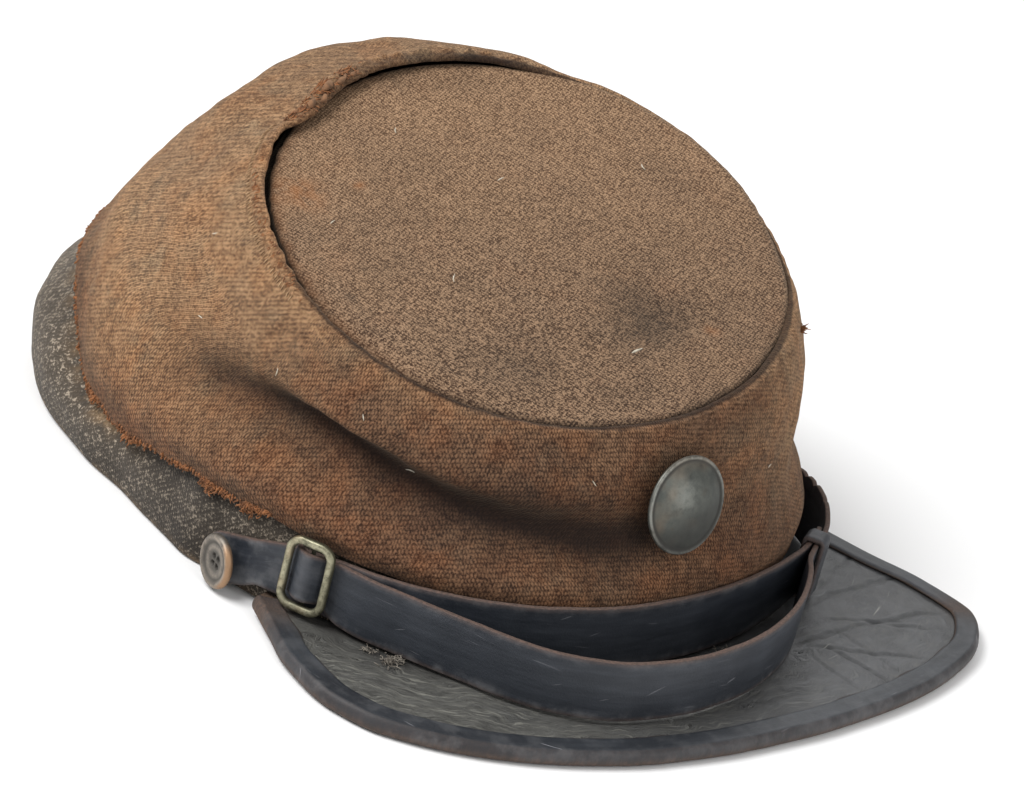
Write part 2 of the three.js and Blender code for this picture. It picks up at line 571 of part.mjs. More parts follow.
// domed face inside a raised rim, flat back with a short shank towards the cloth
const frontButtonGeometry = outwardGeometry(lathe([
  [0, -1.9], [1.8, -1.9], [1.8, 0], [FRONT_BUTTON_R - 1.6, 0], [FRONT_BUTTON_R - 0.3, 0.5], [FRONT_BUTTON_R, 1.2],
  [FRONT_BUTTON_R - 0.4, 1.9], [FRONT_BUTTON_R - 1.1, 2.0], [FRONT_BUTTON_R - 1.7, 1.6], [7.6, 2.5], [4.2, 3.15], [0, 3.4],
], 32));
function sideButtonGeometry() {
  const r = SIDE_BUTTON_R;
  const disc = lathe([[0, 0], [r - 0.9, 0], [r, 0.7], [r - 0.15, 1.7], [r - 0.7, 2.3], [r - 1.5, 2.3], [r - 2.2, 1.6], [2.2, 1.5], [0, 1.4]], 20);
  let solid = toManifold(outwardGeometry(disc));
  for (let i = 0; i < 4; i++) {
    const a = rad(45 + 90 * i);
    const hole = new THREE.CylinderGeometry(0.62, 0.62, 6, 6);
    hole.rotateX(Math.PI / 2);
    hole.translate(1.35 * Math.cos(a), 1.35 * Math.sin(a), 0);
    solid = solid.subtract(toManifold(hole));
  }
  return fromManifold(solid);
}
function outwardGeometry(g) {
  const ix = g.index.array;
  const keep = [];
  for (let i = 0; i < ix.length; i += 3) {
    if (ix[i] !== ix[i + 1] && ix[i + 1] !== ix[i + 2] && ix[i] !== ix[i + 2]) keep.push(ix[i], ix[i + 1], ix[i + 2]);
  }
  return outward(Array.from(g.attributes.position.array), keep);
}

// ---------------------------------------------------------------- assembly
const MATERIALS = {
  crown_cloth: { color: 0x6a4a33, roughness: 0.95, metalness: 0 },
  top_cloth: { color: 0x6b5240, roughness: 0.95, metalness: 0 },
  band_cloth: { color: 0x35322e, roughness: 0.95, metalness: 0 },
  peak_leather: { color: 0x33332f, roughness: 0.6, metalness: 0 },
  binding_leather: { color: 0x3a3b3d, roughness: 0.5, metalness: 0 },
  strap_leather: { color: 0x23252c, roughness: 0.5, metalness: 0 },
  buckle_brass: { color: 0x7f7c52, roughness: 0.45, metalness: 0.8 },
  button_pewter: { color: 0x5c6059, roughness: 0.4, metalness: 0.85 },
  button_tarnished: { color: 0x6b5a48, roughness: 0.5, metalness: 0.6 },
};
function piece(name, geometry, material) {
  const mesh = new THREE.Mesh(geometry, new THREE.MeshStandardMaterial({ ...MATERIALS[material] }));
  mesh.name = name;
  return mesh;
}
const cap = new THREE.Group();
cap.position.set(CENTRE_X, CENTRE_Y, 0);
cap.add(piece('crown', crown, 'crown_cloth'));
cap.add(piece('crown_top', crownTop, 'top_cloth'));
cap.add(piece('band', band, 'band_cloth'));
cap.add(piece('peak', peak, 'peak_leather'));
cap.add(piece('peak_binding', peakBinding, 'binding_leather'));
cap.add(piece('strap_right', strapRight, 'strap_leather'));
cap.add(piece('strap_left', strapLeft, 'strap_leather'));

const buckleAt = station(BUCKLE.phi, BUCKLE.off, BUCKLE.z, 0, BUCKLE.lean);
buckleAt.add(piece('buckle', buckleGeometry(), 'buckle_brass'));
cap.add(buckleAt);

// the keeper follows the straps, which leave the band's line here
const keepAt = table(STRAP_RIGHT, 'phi');
const keepFrom = around(KEEPER.phi - 3, keepAt.off(KEEPER.phi - 3), KEEPER.z);
const keepTo = around(KEEPER.phi + 3, keepAt.off(KEEPER.phi + 3), KEEPER.z);
const keeperDir = new THREE.Vector3(keepTo[0] - keepFrom[0], keepTo[1] - keepFrom[1], 0).normalize();
const keeperOut = new THREE.Vector3(keeperDir.y, -keeperDir.x, 0);
const keeperAt = new THREE.Group();
keeperAt.quaternion.setFromRotationMatrix(new THREE.Matrix4().makeBasis(keeperDir, new THREE.Vector3(0, 0, 1), keeperOut));
const keeperMid = around(KEEPER.phi, keepAt.off(KEEPER.phi), KEEPER.z);
const keeperReach = KEEPER.deep / 2 - KEEPER.wall - 0.35;
keeperAt.position.set(keeperMid[0] + keeperOut.x * keeperReach, keeperMid[1] + keeperOut.y * keeperReach, KEEPER.z);
keeperAt.add(piece('keeper', keeperGeometry(), 'strap_leather'));
cap.add(keeperAt);

const face = crownFace(FRONT_BUTTON.phi, FRONT_BUTTON.z);
const frontButtonAt = new THREE.Group();
frontButtonAt.quaternion.setFromUnitVectors(new THREE.Vector3(0, 0, 1), face.n);
frontButtonAt.position.set(face.p[0] + face.n.x * FRONT_BUTTON.stand, face.p[1] + face.n.y * FRONT_BUTTON.stand, face.p[2] + face.n.z * FRONT_BUTTON.stand);
frontButtonAt.add(piece('front_button', frontButtonGeometry, 'button_pewter'));
cap.add(frontButtonAt);
for (const [name, sign] of [['side_button_right', -1], ['side_button_left', 1]]) {
  const at = station(sign * SIDE_BUTTON.phi, SIDE_BUTTON.off, SIDE_BUTTON.z);
  at.rotateY(rad(sign * SIDE_BUTTON.turn));
  at.add(piece(name, sideButtonGeometry(), 'button_tarnished'));
  cap.add(at);
}

export default cap;
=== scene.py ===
import math

import bpy
import numpy as np
from mathutils import Matrix, Vector


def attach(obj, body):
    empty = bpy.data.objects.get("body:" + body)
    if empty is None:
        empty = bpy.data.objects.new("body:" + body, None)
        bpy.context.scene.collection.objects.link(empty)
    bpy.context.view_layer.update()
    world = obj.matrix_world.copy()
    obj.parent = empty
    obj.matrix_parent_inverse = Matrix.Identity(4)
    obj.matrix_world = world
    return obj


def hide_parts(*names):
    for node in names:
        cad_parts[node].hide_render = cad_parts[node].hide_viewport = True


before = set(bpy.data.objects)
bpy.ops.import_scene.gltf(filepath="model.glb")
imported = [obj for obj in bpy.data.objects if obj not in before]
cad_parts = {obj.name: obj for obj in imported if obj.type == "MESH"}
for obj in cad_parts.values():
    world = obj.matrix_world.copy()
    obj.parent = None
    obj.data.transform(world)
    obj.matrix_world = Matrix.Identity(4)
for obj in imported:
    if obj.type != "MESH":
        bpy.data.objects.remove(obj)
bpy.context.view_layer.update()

SHIFT = np.array([-3.8, 12.3, 0.0])      # the cap's own centre to the row's origin, mm

# ------------------------------------------------------------------ tables
# The same sizes as the solids, in millimetres and degrees round the band:
# 0 at the front, +90 at the wearer's left, 180 at the back.
GAP, BAND_T, CROWN_T, TOP_R, SEAM_LAP, TOP_T = 0.3, 2.0, 1.6, 64.6, 1.2, 1.6
TOP_AT, TOP_PITCH, TOP_ROLL = (-1.5, -18.1, 76.7), 13.2, -11.0
PEAK_T, PEAK_MID, BIND_T, BIND_W, STRAP_T = 2.0, 2.15, 0.8, 5.2, 1.3
FRONT_BUTTON_R, SIDE_BUTTON_R = 12.0, 6.7


def rows(names, *data):
    names = names.split()
    return {n: [r[i] for r in data] for i, n in enumerate(names)}


CROWN = rows(
    "phi hem z1 b1 z2 b2 b3 d3 b4 d4 lip gape seam",
    (-165, 30, 41, -14, 59, -25, 21, 13, 8, 2, 3.2, 0.5, 0),
    (-150, 30.5, 42, -14, 59, -23, 20, 13, 8, 2.4, 3.2, 0.6, 0),
    (-133, 29, 40, -11, 55, -16, 18, 12, 8, 2, 3.2, 0.8, 0),
    (-120, 24.5, 35, -8, 49, -12, 16, 12, 8, 2, 3.0, 1.4, 0),
    (-105, 15.5, 27, -2.4, 42, -9.5, 13.5, 12, 7.5, 2.2, 2.6, 2.0, 0),
    (-90, 15.5, 26, 0, 40, -10.5, 13.5, 10.5, 7, 2.4, 1.8, 1.4, 0),
    (-70, 18.5, 28, 0.4, 43.5, -14, 15, 8, 7, 2.2, 1.0, 0.4, 0),
    (-50, 20.5, 27, 0.4, 38.5, -13.5, 15.5, 9, 7, 2.2, 0.5, 0.3, 0),
    (-30, 17, 25, 0.2, 35, -10, 14.5, 11, 6, 2.4, 0.5, 0.3, 0),
    (-10, 16, 24, 0.2, 32.5, -5.5, 11.5, 12.5, 5, 2.6, 0.5, 0.3, 0),
    (15, 16, 26, 0.2, 40, -4, 9, 13, 4.5, 3, 0.5, 0.3, 0),
    (45, 16, 26, 0.2, 40, -6.5, 9.5, 17, 4.5, 4, 0.3, 0.3, -0.6),
    (75, 17, 30, -0.8, 48, -10.5, 8, 16, 4, 4, -0.2, 0.3, -2.0),
    (105, 20, 34, -4, 56, -15.5, 9.5, 15, 4, 3.6, -0.3, 0.3, -2.4),
    (135, 24, 38, -9, 59, -20, 14, 14, 5, 2.8, 0.6, 0.3, -1.8),
    (165, 28, 40, -12.5, 60, -24, 20, 13, 7.5, 1.8, 2.6, 0.4, -0.6),
)
# what the cloth does beyond the solids: the raw hem's rise, the torn lip's lap
# over the top and its lift, the amount of fray
WEAR = rows(
    "phi rise lap lift fray rag",
    (-178, 0.4, 2.6, 0.5, 0.3, 0.5),
    (-172, 0.6, 3.2, 0.9, 0.3, 1.0),
    (-164, 1.2, 3.8, 1.1, 0.3, 1.0),
    (-156, 2.2, 4.6, 0.8, 0.3, 1.0),
    (-149, 3.0, 3.0, 0.2, 0.4, 0.8),
    (-144, 2.9, 0.2, -0.3, 0.4, 0.5),
    (-135, 2.6, -0.5, 0.0, 0.5, 0.3),
    (-128, 2.2, -0.6, 0.0, 0.6, 0.3),
    (-118, 0.8, -0.6, 0.0, 0.6, 0.3),
    (-106, 0.0, -0.4, 0.2, 1.0, 0.3),
    (-95, -0.3, -0.3, 0.2, 1.0, 0.3),
    (-90, 2.0, 0.0, 0.0, 0.7, 0.2),
    (-84, 4.2, 0.0, 0.0, 0.9, 0.2),
    (-77, 3.6, 0.0, 0.0, 1.0, 0.2),
    (-70, 3.4, 0.0, 0.0, 0.9, 0.2),
    (-60, 1.2, 0.0, 0.0, 0.3, 0.1),
    (-50, 0.0, 0.0, 0.0, 0.1, 0.1),
    (25, 0.0, 0.0, 0.0, 0.1, 0.1),
    (45, 0.0, 0.0, -0.7, 0.1, 0.1),
    (70, 0.0, 0.0, -1.8, 0.2, 0.1),
    (110, 0.0, 0.0, -1.8, 0.3, 0.1),
    (132, 0.0, 0.6, -0.9, 0.3, 0.1),
    (150, 0.0, 1.8, 0.0, 0.3, 0.2),
    (168, 0.2, 2.5, 0.4, 0.3, 0.3),
)
BAND_SWELL = rows("u straight slack", (0, 0, 0.3), (0.28, 0, 2.3), (0.5, 0, 3.0), (0.65, 0, 2.0), (0.85, 0, -2.5), (1.0, 0, -6.0))
BAND_DRAW = rows("phi draw", (-180, 0), (-10, 0), (0, -0.6), (10, -1.8), (20, -2.6), (35, -3), (60, -3), (80, -2.6), (105, -1.2), (130, 0))
BAND_SLACK = rows("phi slack", (-170, 1), (-122, 1), (-95, 0.35), (-78, 0), (75, 0), (105, 0.4), (145, 0.9))
PEAK = rows(
    "phi x y curl rise",
    (-67, -83.8, -44.5, 0.8, 0), (-62, -87.8, -56.5, 0.5, 0.1), (-55, -92, -70, 0.2, 0.3), (-48, -93, -82, 0, 0.5),
    (-40, -89.8, -94.8, 0, 0.5), (-32, -81.3, -105.5, 0, 0.5), (-24, -67.5, -115.6, 0, 0.4), (-16, -49, -123.8, 0, 0.3),
    (-8, -28, -129, 0, 0.2), (0, -5, -130.8, 0, 0.2), (8, 15, -130.4, 0, 0.3), (16, 36, -128.4, 0, 0.4),
    (24, 56, -125, 0, 0.5), (32, 75.5, -119, 0, 0.6), (40, 92, -110, 0, 0.6), (47, 100.0, -98, 0.1, 0.6),
    (54, 97.8, -83.5, 0.2, 0.5), (61, 92.4, -69, 0.3, 0.3), (67, 88, -54, 0.4, 0),
)
# long creases in the peak leather, from and to in plan
CREASES = rows(
    "x0 y0 x1 y1 deep wide",
    (42, -98, 91, -97, 0.55, 1.2),
    (48, -103, 53, -121, 0.55, 1.1),
    (44, -101, 70, -114, 0.45, 1.0),
    (60, -84, 94, -79, 0.45, 1.2),
    (58, -92, 84, -104, 0.40, 0.9),
    (66, -80, 90, -66, 0.35, 1.0),
    (40, -106, 42, -122, 0.35, 0.9),
    (56, -97, 60, -116, 0.30, 0.9),
    (-88, -62, -82, -88, 0.30, 1.0),
    (-86, -74, -68, -98, 0.28, 1.0),
    (-74, -96, -46, -112, 0.25, 1.0),
    (-60, -106, -22, -118, 0.22, 1.0),
    (10, -118, 38, -119, 0.22, 1.0),
)
STRAP_RIGHT = rows(
    "phi off z0 z1",
    (-77.8, 1.2, 3.2, 9.8), (-76.6, 1.3, 1.4, 11.8), (-74, 1.3, 0.9, 13.4), (-71, 1.2, 2.2, 14.8), (-68, 1.0, 4.4, 16.4),
    (-64, 0.95, 4.7, 18.1), (-57, 0.95, 4.7, 19.3), (-49, 2.8, 4.3, 20.4), (-20, 3.0, 4.2, 21.0), (8, 2.9, 4.2, 20.8),
    (18, 3.1, 4.4, 20.4), (27, 4.0, 5.0, 20.0), (33, 5.2, 5.6, 19.6), (41, 6.8, 5.6, 19.5), (44, 7.3, 6.6, 18.6),
)
STRAP_LEFT = rows(
    "phi off z0 z1",
    (-62.3, 2.65, 7.9, 20.2), (-61.2, 4.2, 7.9, 20.2), (-59.9, 5.2, 7.9, 20.2), (-58.6, 4.2, 7.9, 20.0), (-57.2, 2.65, 7.8, 19.6),
    (-55.6, 2.6, 6.0, 19.6), (-53.2, 3.2, 4.7, 19.6), (-50, 4.5, 4.4, 19.6), (-45, 5.9, 4.3, 19.6), (-39, 8.6, 4.3, 19.6),
    (-33, 12.4, 4.3, 19.6), (-28.5, 16.6, 4.3, 19.6), (-22, 21.6, 4.3, 19.6), (-13.5, 25.0, 4.3, 19.6), (-5, 24.6, 4.3, 19.6),
    (2, 22.4, 4.3, 19.6), (9, 19.2, 4.3, 19.6), (17, 15.2, 4.3, 19.6), (25, 10.8, 4.6, 19.6), (32, 7.6, 5.4, 19.6),
    (36, 7.5, 5.6, 19.6), (41, 8.5, 5.6, 19.6), (45, 9.0, 5.0, 19.7), (50, 9.2, 4.4, 20.2), (56, 8.6, 4.2, 20.6),
    (62, 6.8, 4.1, 20.2), (67.5, 3.8, 4.0, 18.0), (71, 2.0, 2.2, 15.4), (74, 1.3, 0.9, 13.4), (76.6, 1.3, 1.4, 11.8), (77.8, 1.2, 3.2, 9.8),
)
BUCKLE = dict(phi=-59.9, off=4.35, z=14.2, wide=12.6, tall=18.9, bar=2.0, deep=1.9, corner=4.0, lean=1.0)
KEEPER = dict(phi=37.6, wide=6.5, wall=1.0, tall=16.8, deep=5.9, z=12.6)
FRONT_BUTTON = dict(phi=-3.9, z=42.8, stand=2.3)
SIDE_BUTTON = dict(phi=73.9, z=6.9, off=4.9, turn=20.0)


# ------------------------------------------------------------------ helpers
class Curve:
    """Smooth monotone interpolation of a table's column."""

    def __init__(self, t, key, name, closed=False):
        xs, ys = list(map(float, t[key])), list(map(float, t[name]))
        if closed:
            xs = [xs[-2] - 360, xs[-1] - 360] + xs + [xs[0] + 360, xs[1] + 360]
            ys = [ys[-2], ys[-1]] + ys + [ys[0], ys[1]]
        self.x, self.y = np.array(xs), np.array(ys)
        self.h = np.diff(self.x)
        s = np.diff(self.y) / self.h
        m = np.zeros(len(xs))
        for i in range(1, len(xs) - 1):
            if s[i - 1] * s[i] > 0:
                w1, w2 = 2 * self.h[i] + self.h[i - 1], self.h[i] + 2 * self.h[i - 1]
                m[i] = (w1 + w2) / (w1 / s[i - 1] + w2 / s[i])
        m[0], m[-1] = s[0], s[-1]
        self.m = m

    def __call__(self, x):
        x = np.clip(np.asarray(x, float), self.x[0], self.x[-1])
        i = np.clip(np.searchsorted(self.x, x, side="right") - 1, 0, len(self.x) - 2)
        t = (x - self.x[i]) / self.h[i]
        t2, t3 = t * t, t * t * t
        return (self.y[i] * (2 * t3 - 3 * t2 + 1) + self.h[i] * self.m[i] * (t3 - 2 * t2 + t)
                + self.y[i + 1] * (3 * t2 - 2 * t3) + self.h[i] * self.m[i + 1] * (t3 - t2))


def table(t, key, closed=False):
    return {n: Curve(t, key, n, closed) for n in t if n != key}


def wrap(a):
    return (np.asarray(a, float) + 180) % 360 - 180


crown_at = table(CROWN, "phi", True)
wear_at = table(WEAR, "phi", True)
draw_at = table(BAND_DRAW, "phi", True)["draw"]
slack_at = table(BAND_SLACK, "phi", True)["slack"]
swell_at = table(BAND_SWELL, "u")
peak_at = table(PEAK, "phi")


def outline(phi):
    s, c = np.sin(np.radians(phi)), -np.cos(np.radians(phi))
    a = np.where(c < 0, 93.4, 105.0)
    e = 2 / 2.37
    return np.stack([84.6 * np.sign(s) * np.abs(s) ** e, a * np.sign(c) * np.abs(c) ** e], -1)


def outline_normal(phi):
    phi = np.asarray(phi, float)
    d = outline(phi + 0.4) - outline(phi - 0.4)
    d = d / np.linalg.norm(d, axis=-1, keepdims=True)
    return np.stack([d[..., 1], -d[..., 0]], -1)


def around(phi, off, z):
    phi = np.asarray(phi, float)
    o = (np.asarray(off, float) + draw_at(wrap(phi)))[..., None]
    p = outline(phi) + outline_normal(phi) * o
    return np.concatenate([p, (np.asarray(z, float) + np.zeros(phi.shape))[..., None]], -1)


def band_off(phi, z):
    a = wrap(phi)
    hem = crown_at["hem"](a)
    w = slack_at(a)
    u = np.minimum(1, z / hem)
    off = swell_at["straight"](u) * (1 - w) + swell_at["slack"](u) * w
    up = off + ((crown_at["b1"](a) - off) / (crown_at["z1"](a) - hem) - 0.15) * (z - hem)
    return np.where(z <= hem, off, up)


_tf = Matrix.Rotation(math.radians(TOP_ROLL), 3, "Y") @ Matrix.Rotation(math.radians(TOP_PITCH), 3, "X")
TOP_FRAME = np.array([list(r) for r in _tf])


def on_top(phi, r, up):
    phi = np.radians(np.asarray(phi, float))
    v = np.stack([r * np.sin(phi), -r * np.cos(phi), up + 0 * phi], -1)
    return v @ TOP_FRAME.T + np.array(TOP_AT)


def catmull(P, t):
    """P: K x N x 3 points, t: M values in 0..K-1; returns N x M x 3"""
    n = len(P) - 1
    out = []
    for v in t:
        i = int(min(n - 1, max(0, math.floor(v))))
        f = v - i
        p1, p2 = P[i], P[i + 1]
        p0 = P[i - 1] if i > 0 else 2 * p1 - p2
        p3 = P[i + 2] if i + 2 <= n else 2 * p2 - p1
        out.append(0.5 * (2 * p1 + (p2 - p0) * f + (2 * p0 - 5 * p1 + 4 * p2 - p3) * f * f + (3 * p1 - p0 - 3 * p2 + p3) * f ** 3))
    return np.stack(out, 1)


def unit(v):
    return v / np.maximum(np.linalg.norm(v, axis=-1, keepdims=True), 1e-9)


def smooth(a, b, x):
    t = np.clip((np.asarray(x, float) - a) / (b - a), 0, 1)
    return t * t * (3 - 2 * t)


def bump(x, mid, width):
    return np.exp(-(((np.asarray(x, float) - mid) / width) ** 2))


_rng = np.random.default_rng(11)
_perm = _rng.permutation(256)
_perm = np.concatenate([_perm, _perm])
_val = _rng.uniform(-1, 1, 512)


def noise(p, scale=1.0, seed=0):
    """smooth value noise, -1..1; scale is the size of a lump in millimetres"""
    p = np.asarray(p, float) / scale + 31.7 * seed + 1000.0
    i = np.floor(p).astype(int)
    f = p - i
    u = f * f * f * (f * (f * 6 - 15) + 10)
    i = i & 255

    def h(a, b, c):
        return _val[_perm[(_perm[(_perm[(i[..., 0] + a) & 255] + i[..., 1] + b) & 255] + i[..., 2] + c) & 255]]

    def mix(a, b, k):
        return a + (b - a) * u[..., k]

    return mix(mix(mix(h(0, 0, 0), h(1, 0, 0), 0), mix(h(0, 1, 0), h(1, 1, 0), 0), 1),
               mix(mix(h(0, 0, 1), h(1, 0, 1), 0), mix(h(0, 1, 1), h(1, 1, 1), 0), 1), 2)


def fbm(p, scale, n=3, seed=0):
    return sum(noise(p, scale / 2 ** k, seed + k) / 2 ** k for k in range(n)) / (2 - 0.5 ** (n - 1))


ALL = []


def finish_piece(me, name, material, nodes=(), smooth_faces=True):
    o = bpy.data.objects.new(name, me)
    bpy.context.scene.collection.objects.link(o)
    if smooth_faces:
        me.polygons.foreach_set("use_smooth", [True] * len(me.polygons))
    me.materials.append(material)
    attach(o, "root")
    if nodes:
        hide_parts(*nodes)
    ALL.append(o)
    return o


def raw_mesh(name, verts, faces, attrs=None, corner_uv=None, corner_uv2=None):
    me = bpy.data.meshes.new(name)
    me.from_pydata(((np.asarray(verts) + SHIFT) / 1000.0).tolist(), [], faces)
    for k, a in (attrs or {}).items():
        at = me.attributes.new(k, "FLOAT", "POINT")
        at.data.foreach_set("value", np.asarray(a, np.float32).ravel())
    if corner_uv is not None:
        uv = me.uv_layers.new(name="UVMap")
        uv.data.foreach_set("uv", np.asarray(corner_uv, np.float32).ravel())
    if corner_uv2 is not None:
        uv = me.uv_layers.new(name="Rib")
        uv.data.foreach_set("uv", np.asarray(corner_uv2, np.float32).ravel())
    me.validate(clean_customdata=False)
    me.update()
    return me


def grid_mesh(name, P, wrap_i=False, wrap_j=False, uv=None, attrs=None, cap_i=False, cap_j=(False, False), flip=False, uv2=None):
    """P: N x M x 3. uv has one more row and column than P where it wraps."""
    N, M = P.shape[:2]
    I = np.arange(N if wrap_i else N - 1)
    J = np.arange(M if wrap_j else M - 1)
    i, j = np.meshgrid(I, J, indexing="ij")
    i, j = i.ravel(), j.ravel()
    i1, j1 = i + 1, j + 1
    a, b, c, d = i * M + j, (i1 % N) * M + j, (i1 % N) * M + (j1 % M), i * M + (j1 % M)
    faces = np.stack([a, b, c, d], 1)
    ij = [(i, j), (i1, j), (i1, j1), (i, j1)]
    if flip:
        faces = faces[:, ::-1]
        ij = ij[::-1]
    faces = faces.tolist()
    cuv = None
    if uv is not None:
        cuv = np.stack([uv[x, y] for x, y in ij], 1).reshape(-1, 2)
    extra = []
    if cap_i:
        f0, f1 = list(range(M)), [(N - 1) * M + k for k in range(M)]
        extra += [f0[::-1] if flip else f0, f1 if flip else f1[::-1]]
    for k, on in enumerate(cap_j):
        if on:
            f = [x * M + (0 if k == 0 else M - 1) for x in range(N)]
            extra.append(f[::-1] if (k == 0) != flip else f)
    faces += extra
    if cuv is not None and extra:
        cuv = np.concatenate([cuv, np.zeros((sum(map(len, extra)), 2))])
    cuv2 = None
    if uv2 is not None:
        cuv2 = np.stack([uv2[x, y] for x, y in ij], 1).reshape(-1, 2)
        if extra:
            cuv2 = np.concatenate([cuv2, np.zeros((sum(map(len, extra)), 2))])
    return raw_mesh(name, P.reshape(-1, 3), faces, {k: v.reshape(-1) for k, v in (attrs or {}).items()}, cuv, cuv2)


def arclen(P):
    """running length along axis 0 of an N x 3 line"""
    return np.concatenate([[0], np.cumsum(np.linalg.norm(np.diff(P, axis=0), axis=-1))])


def tubes(lines, radii, sides=5):
    """one mesh of many thin closed tubes; lines: list of K x 3, radii: list of K"""
    V, F, n = [], [], 0
    ang = np.arange(sides) * 2 * math.pi / sides
    for L, r in zip(lines, radii):
        L = np.asarray(L, float)
        t = unit(np.gradient(L, axis=0))
        ref = np.array([0.31, 0.52, 0.79])
        a = unit(np.cross(t, ref))
        b = np.cross(t, a)
        ring = L[:, None] + np.asarray(r)[:, None, None] * (a[:, None] * np.cos(ang)[None, :, None] + b[:, None] * np.sin(ang)[None, :, None])
        k = len(L)
        V.append(ring.reshape(-1, 3))
        for i in range(k - 1):
            for j in range(sides):
                l = (j + 1) % sides
                F.append([n + i * sides + j, n + i * sides + l, n + (i + 1) * sides + l, n + (i + 1) * sides + j])
        F.append([n + j for j in range(sides)][::-1])
        F.append([n + (k - 1) * sides + j for j in range(sides)])
        n += k * sides
    return np.concatenate(V), F


# ------------------------------------------------------------------ materials
class S:
    """a socket or a number, with arithmetic"""

    def __init__(self, g, v):
        self.g, self.v = g, v

    def _op(self, op, *o, clamp=False):
        n = self.g.nt.nodes.new("ShaderNodeMath")
        n.operation = op
        n.use_clamp = clamp
        for k, x in enumerate((self,) + o):
            self.g.put(n.inputs[k], x)
        return S(self.g, n.outputs[0])

    def __add__(self, o): return self._op("ADD", o)
    __radd__ = __add__
    def __sub__(self, o): return self._op("SUBTRACT", o)
    def __rsub__(self, o): return S(self.g, o)._op("SUBTRACT", self)
    def __mul__(self, o): return self._op("MULTIPLY", o)
    __rmul__ = __mul__
    def __truediv__(self, o): return self._op("DIVIDE", o)
    def __pow__(self, o): return self._op("POWER", o)
    def cos(self): return self._op("COSINE")
    def abs(self): return self._op("ABSOLUTE")
    def floor(self): return self._op("FLOOR")
    def max(self, o): return self._op("MAXIMUM", o)
    def min(self, o): return self._op("MINIMUM", o)
    def clamp(self): return self._op("ADD", 0.0, clamp=True)

    def map(self, a, b, c=0.0, d=1.0, kind="SMOOTHSTEP"):
        n = self.g.nt.nodes.new("ShaderNodeMapRange")
        n.interpolation_type = kind
        for k, x in enumerate((self, a, b, c, d)):
            self.g.put(n.inputs[k], x)
        return S(self.g, n.outputs[0])


class G:
    def __init__(self, name):
        self.m = bpy.data.materials.new(name)
        self.m.use_nodes = True
        self.nt = self.m.node_tree
        self.nt.nodes.clear()
        self.out = self.nt.nodes.new("ShaderNodeOutputMaterial")
        self.p = self.nt.nodes.new("ShaderNodeBsdfPrincipled")
        self.nt.links.new(self.p.outputs[0], self.out.inputs[0])
        tc = self.nt.nodes.new("ShaderNodeTexCoord")
        vm = self.nt.nodes.new("ShaderNodeVectorMath")
        vm.operation = "SCALE"
        self.nt.links.new(tc.outputs["Object"], vm.inputs[0])
        vm.inputs["Scale"].default_value = 1000.0
        self.pos = vm.outputs[0]                       # millimetres

    def put(self, sock, x):
        if isinstance(x, S):
            x = x.v
        if isinstance(x, bpy.types.NodeSocket):
            self.nt.links.new(x, sock)
        elif isinstance(x, (tuple, list)):
            sock.default_value = tuple(x) + (1.0,) * (len(sock.default_value) - len(x))
        else:
            sock.default_value = x

    def attr(self, name):
        n = self.nt.nodes.new("ShaderNodeAttribute")
        n.attribute_type = "GEOMETRY"
        n.attribute_name = name
        return S(self, n.outputs["Fac"])

    def uv(self, layer="UVMap"):
        n = self.nt.nodes.new("ShaderNodeUVMap")
        n.uv_map = layer
        s = self.nt.nodes.new("ShaderNodeSeparateXYZ")
        self.nt.links.new(n.outputs[0], s.inputs[0])
        return S(self, s.outputs[0]), S(self, s.outputs[1])

    def vec(self, x, y, z=0.0):
        n = self.nt.nodes.new("ShaderNodeCombineXYZ")
        for k, v in enumerate((x, y, z)):
            self.put(n.inputs[k], v)
        return n.outputs[0]

    def noise(self, size, vec=None, detail=2.0, rough=0.5, distort=0.0, w=0.0):
        n = self.nt.nodes.new("ShaderNodeTexNoise")
        n.noise_dimensions = "4D"
        self.nt.links.new(self.pos if vec is None else vec, n.inputs["Vector"])
        n.inputs["W"].default_value = w
        n.inputs["Scale"].default_value = 1.0 / size
        n.inputs["Detail"].default_value = detail
        n.inputs["Roughness"].default_value = rough
        n.inputs["Distortion"].default_value = distort
        return S(self, n.outputs["Fac"])

    def cells(self, size, vec=None, feature="F1", rand=1.0, out="Distance"):
        n = self.nt.nodes.new("ShaderNodeTexVoronoi")
        n.feature = feature
        self.nt.links.new(self.pos if vec is None else vec, n.inputs["Vector"])
        n.inputs["Scale"].default_value = 1.0 / size
        n.inputs["Randomness"].default_value = rand
        return S(self, n.outputs[out])

    def mix(self, f, a, b, mode="MIX"):
        n = self.nt.nodes.new("ShaderNodeMix")
        n.data_type = "RGBA"
        n.blend_type = mode
        self.put(n.inputs[0], f)
        self.put(n.inputs[6], a)
        self.put(n.inputs[7], b)
        return n.outputs[2]

    def done(self, color, height=None, dist=0.2, strength=1.0, rough=0.9, metal=0.0, sheen=0.0, tint=(1, 1, 1), sheen_rough=0.5, spec=0.5, coat=0.0, coat_rough=0.3):
        self.put(self.p.inputs["Base Color"], color)
        self.put(self.p.inputs["Roughness"], rough)
        self.put(self.p.inputs["Metallic"], metal)
        self.p.inputs["Sheen Weight"].default_value = sheen
        self.p.inputs["Sheen Roughness"].default_value = sheen_rough
        self.p.inputs["Sheen Tint"].default_value = tuple(tint) + (1.0,)
        self.p.inputs["Specular IOR Level"].default_value = spec
        self.p.inputs["Coat Weight"].default_value = coat
        self.p.inputs["Coat Roughness"].default_value = coat_rough
        if height is not None:
            b = self.nt.nodes.new("ShaderNodeBump")
            b.inputs["Distance"].default_value = dist / 1000.0
            b.inputs["Strength"].default_value = strength
            self.put(b.inputs["Height"], height)
            self.nt.links.new(b.outputs[0], self.p.inputs["Normal"])
        return self.m


TAU = 2 * math.pi


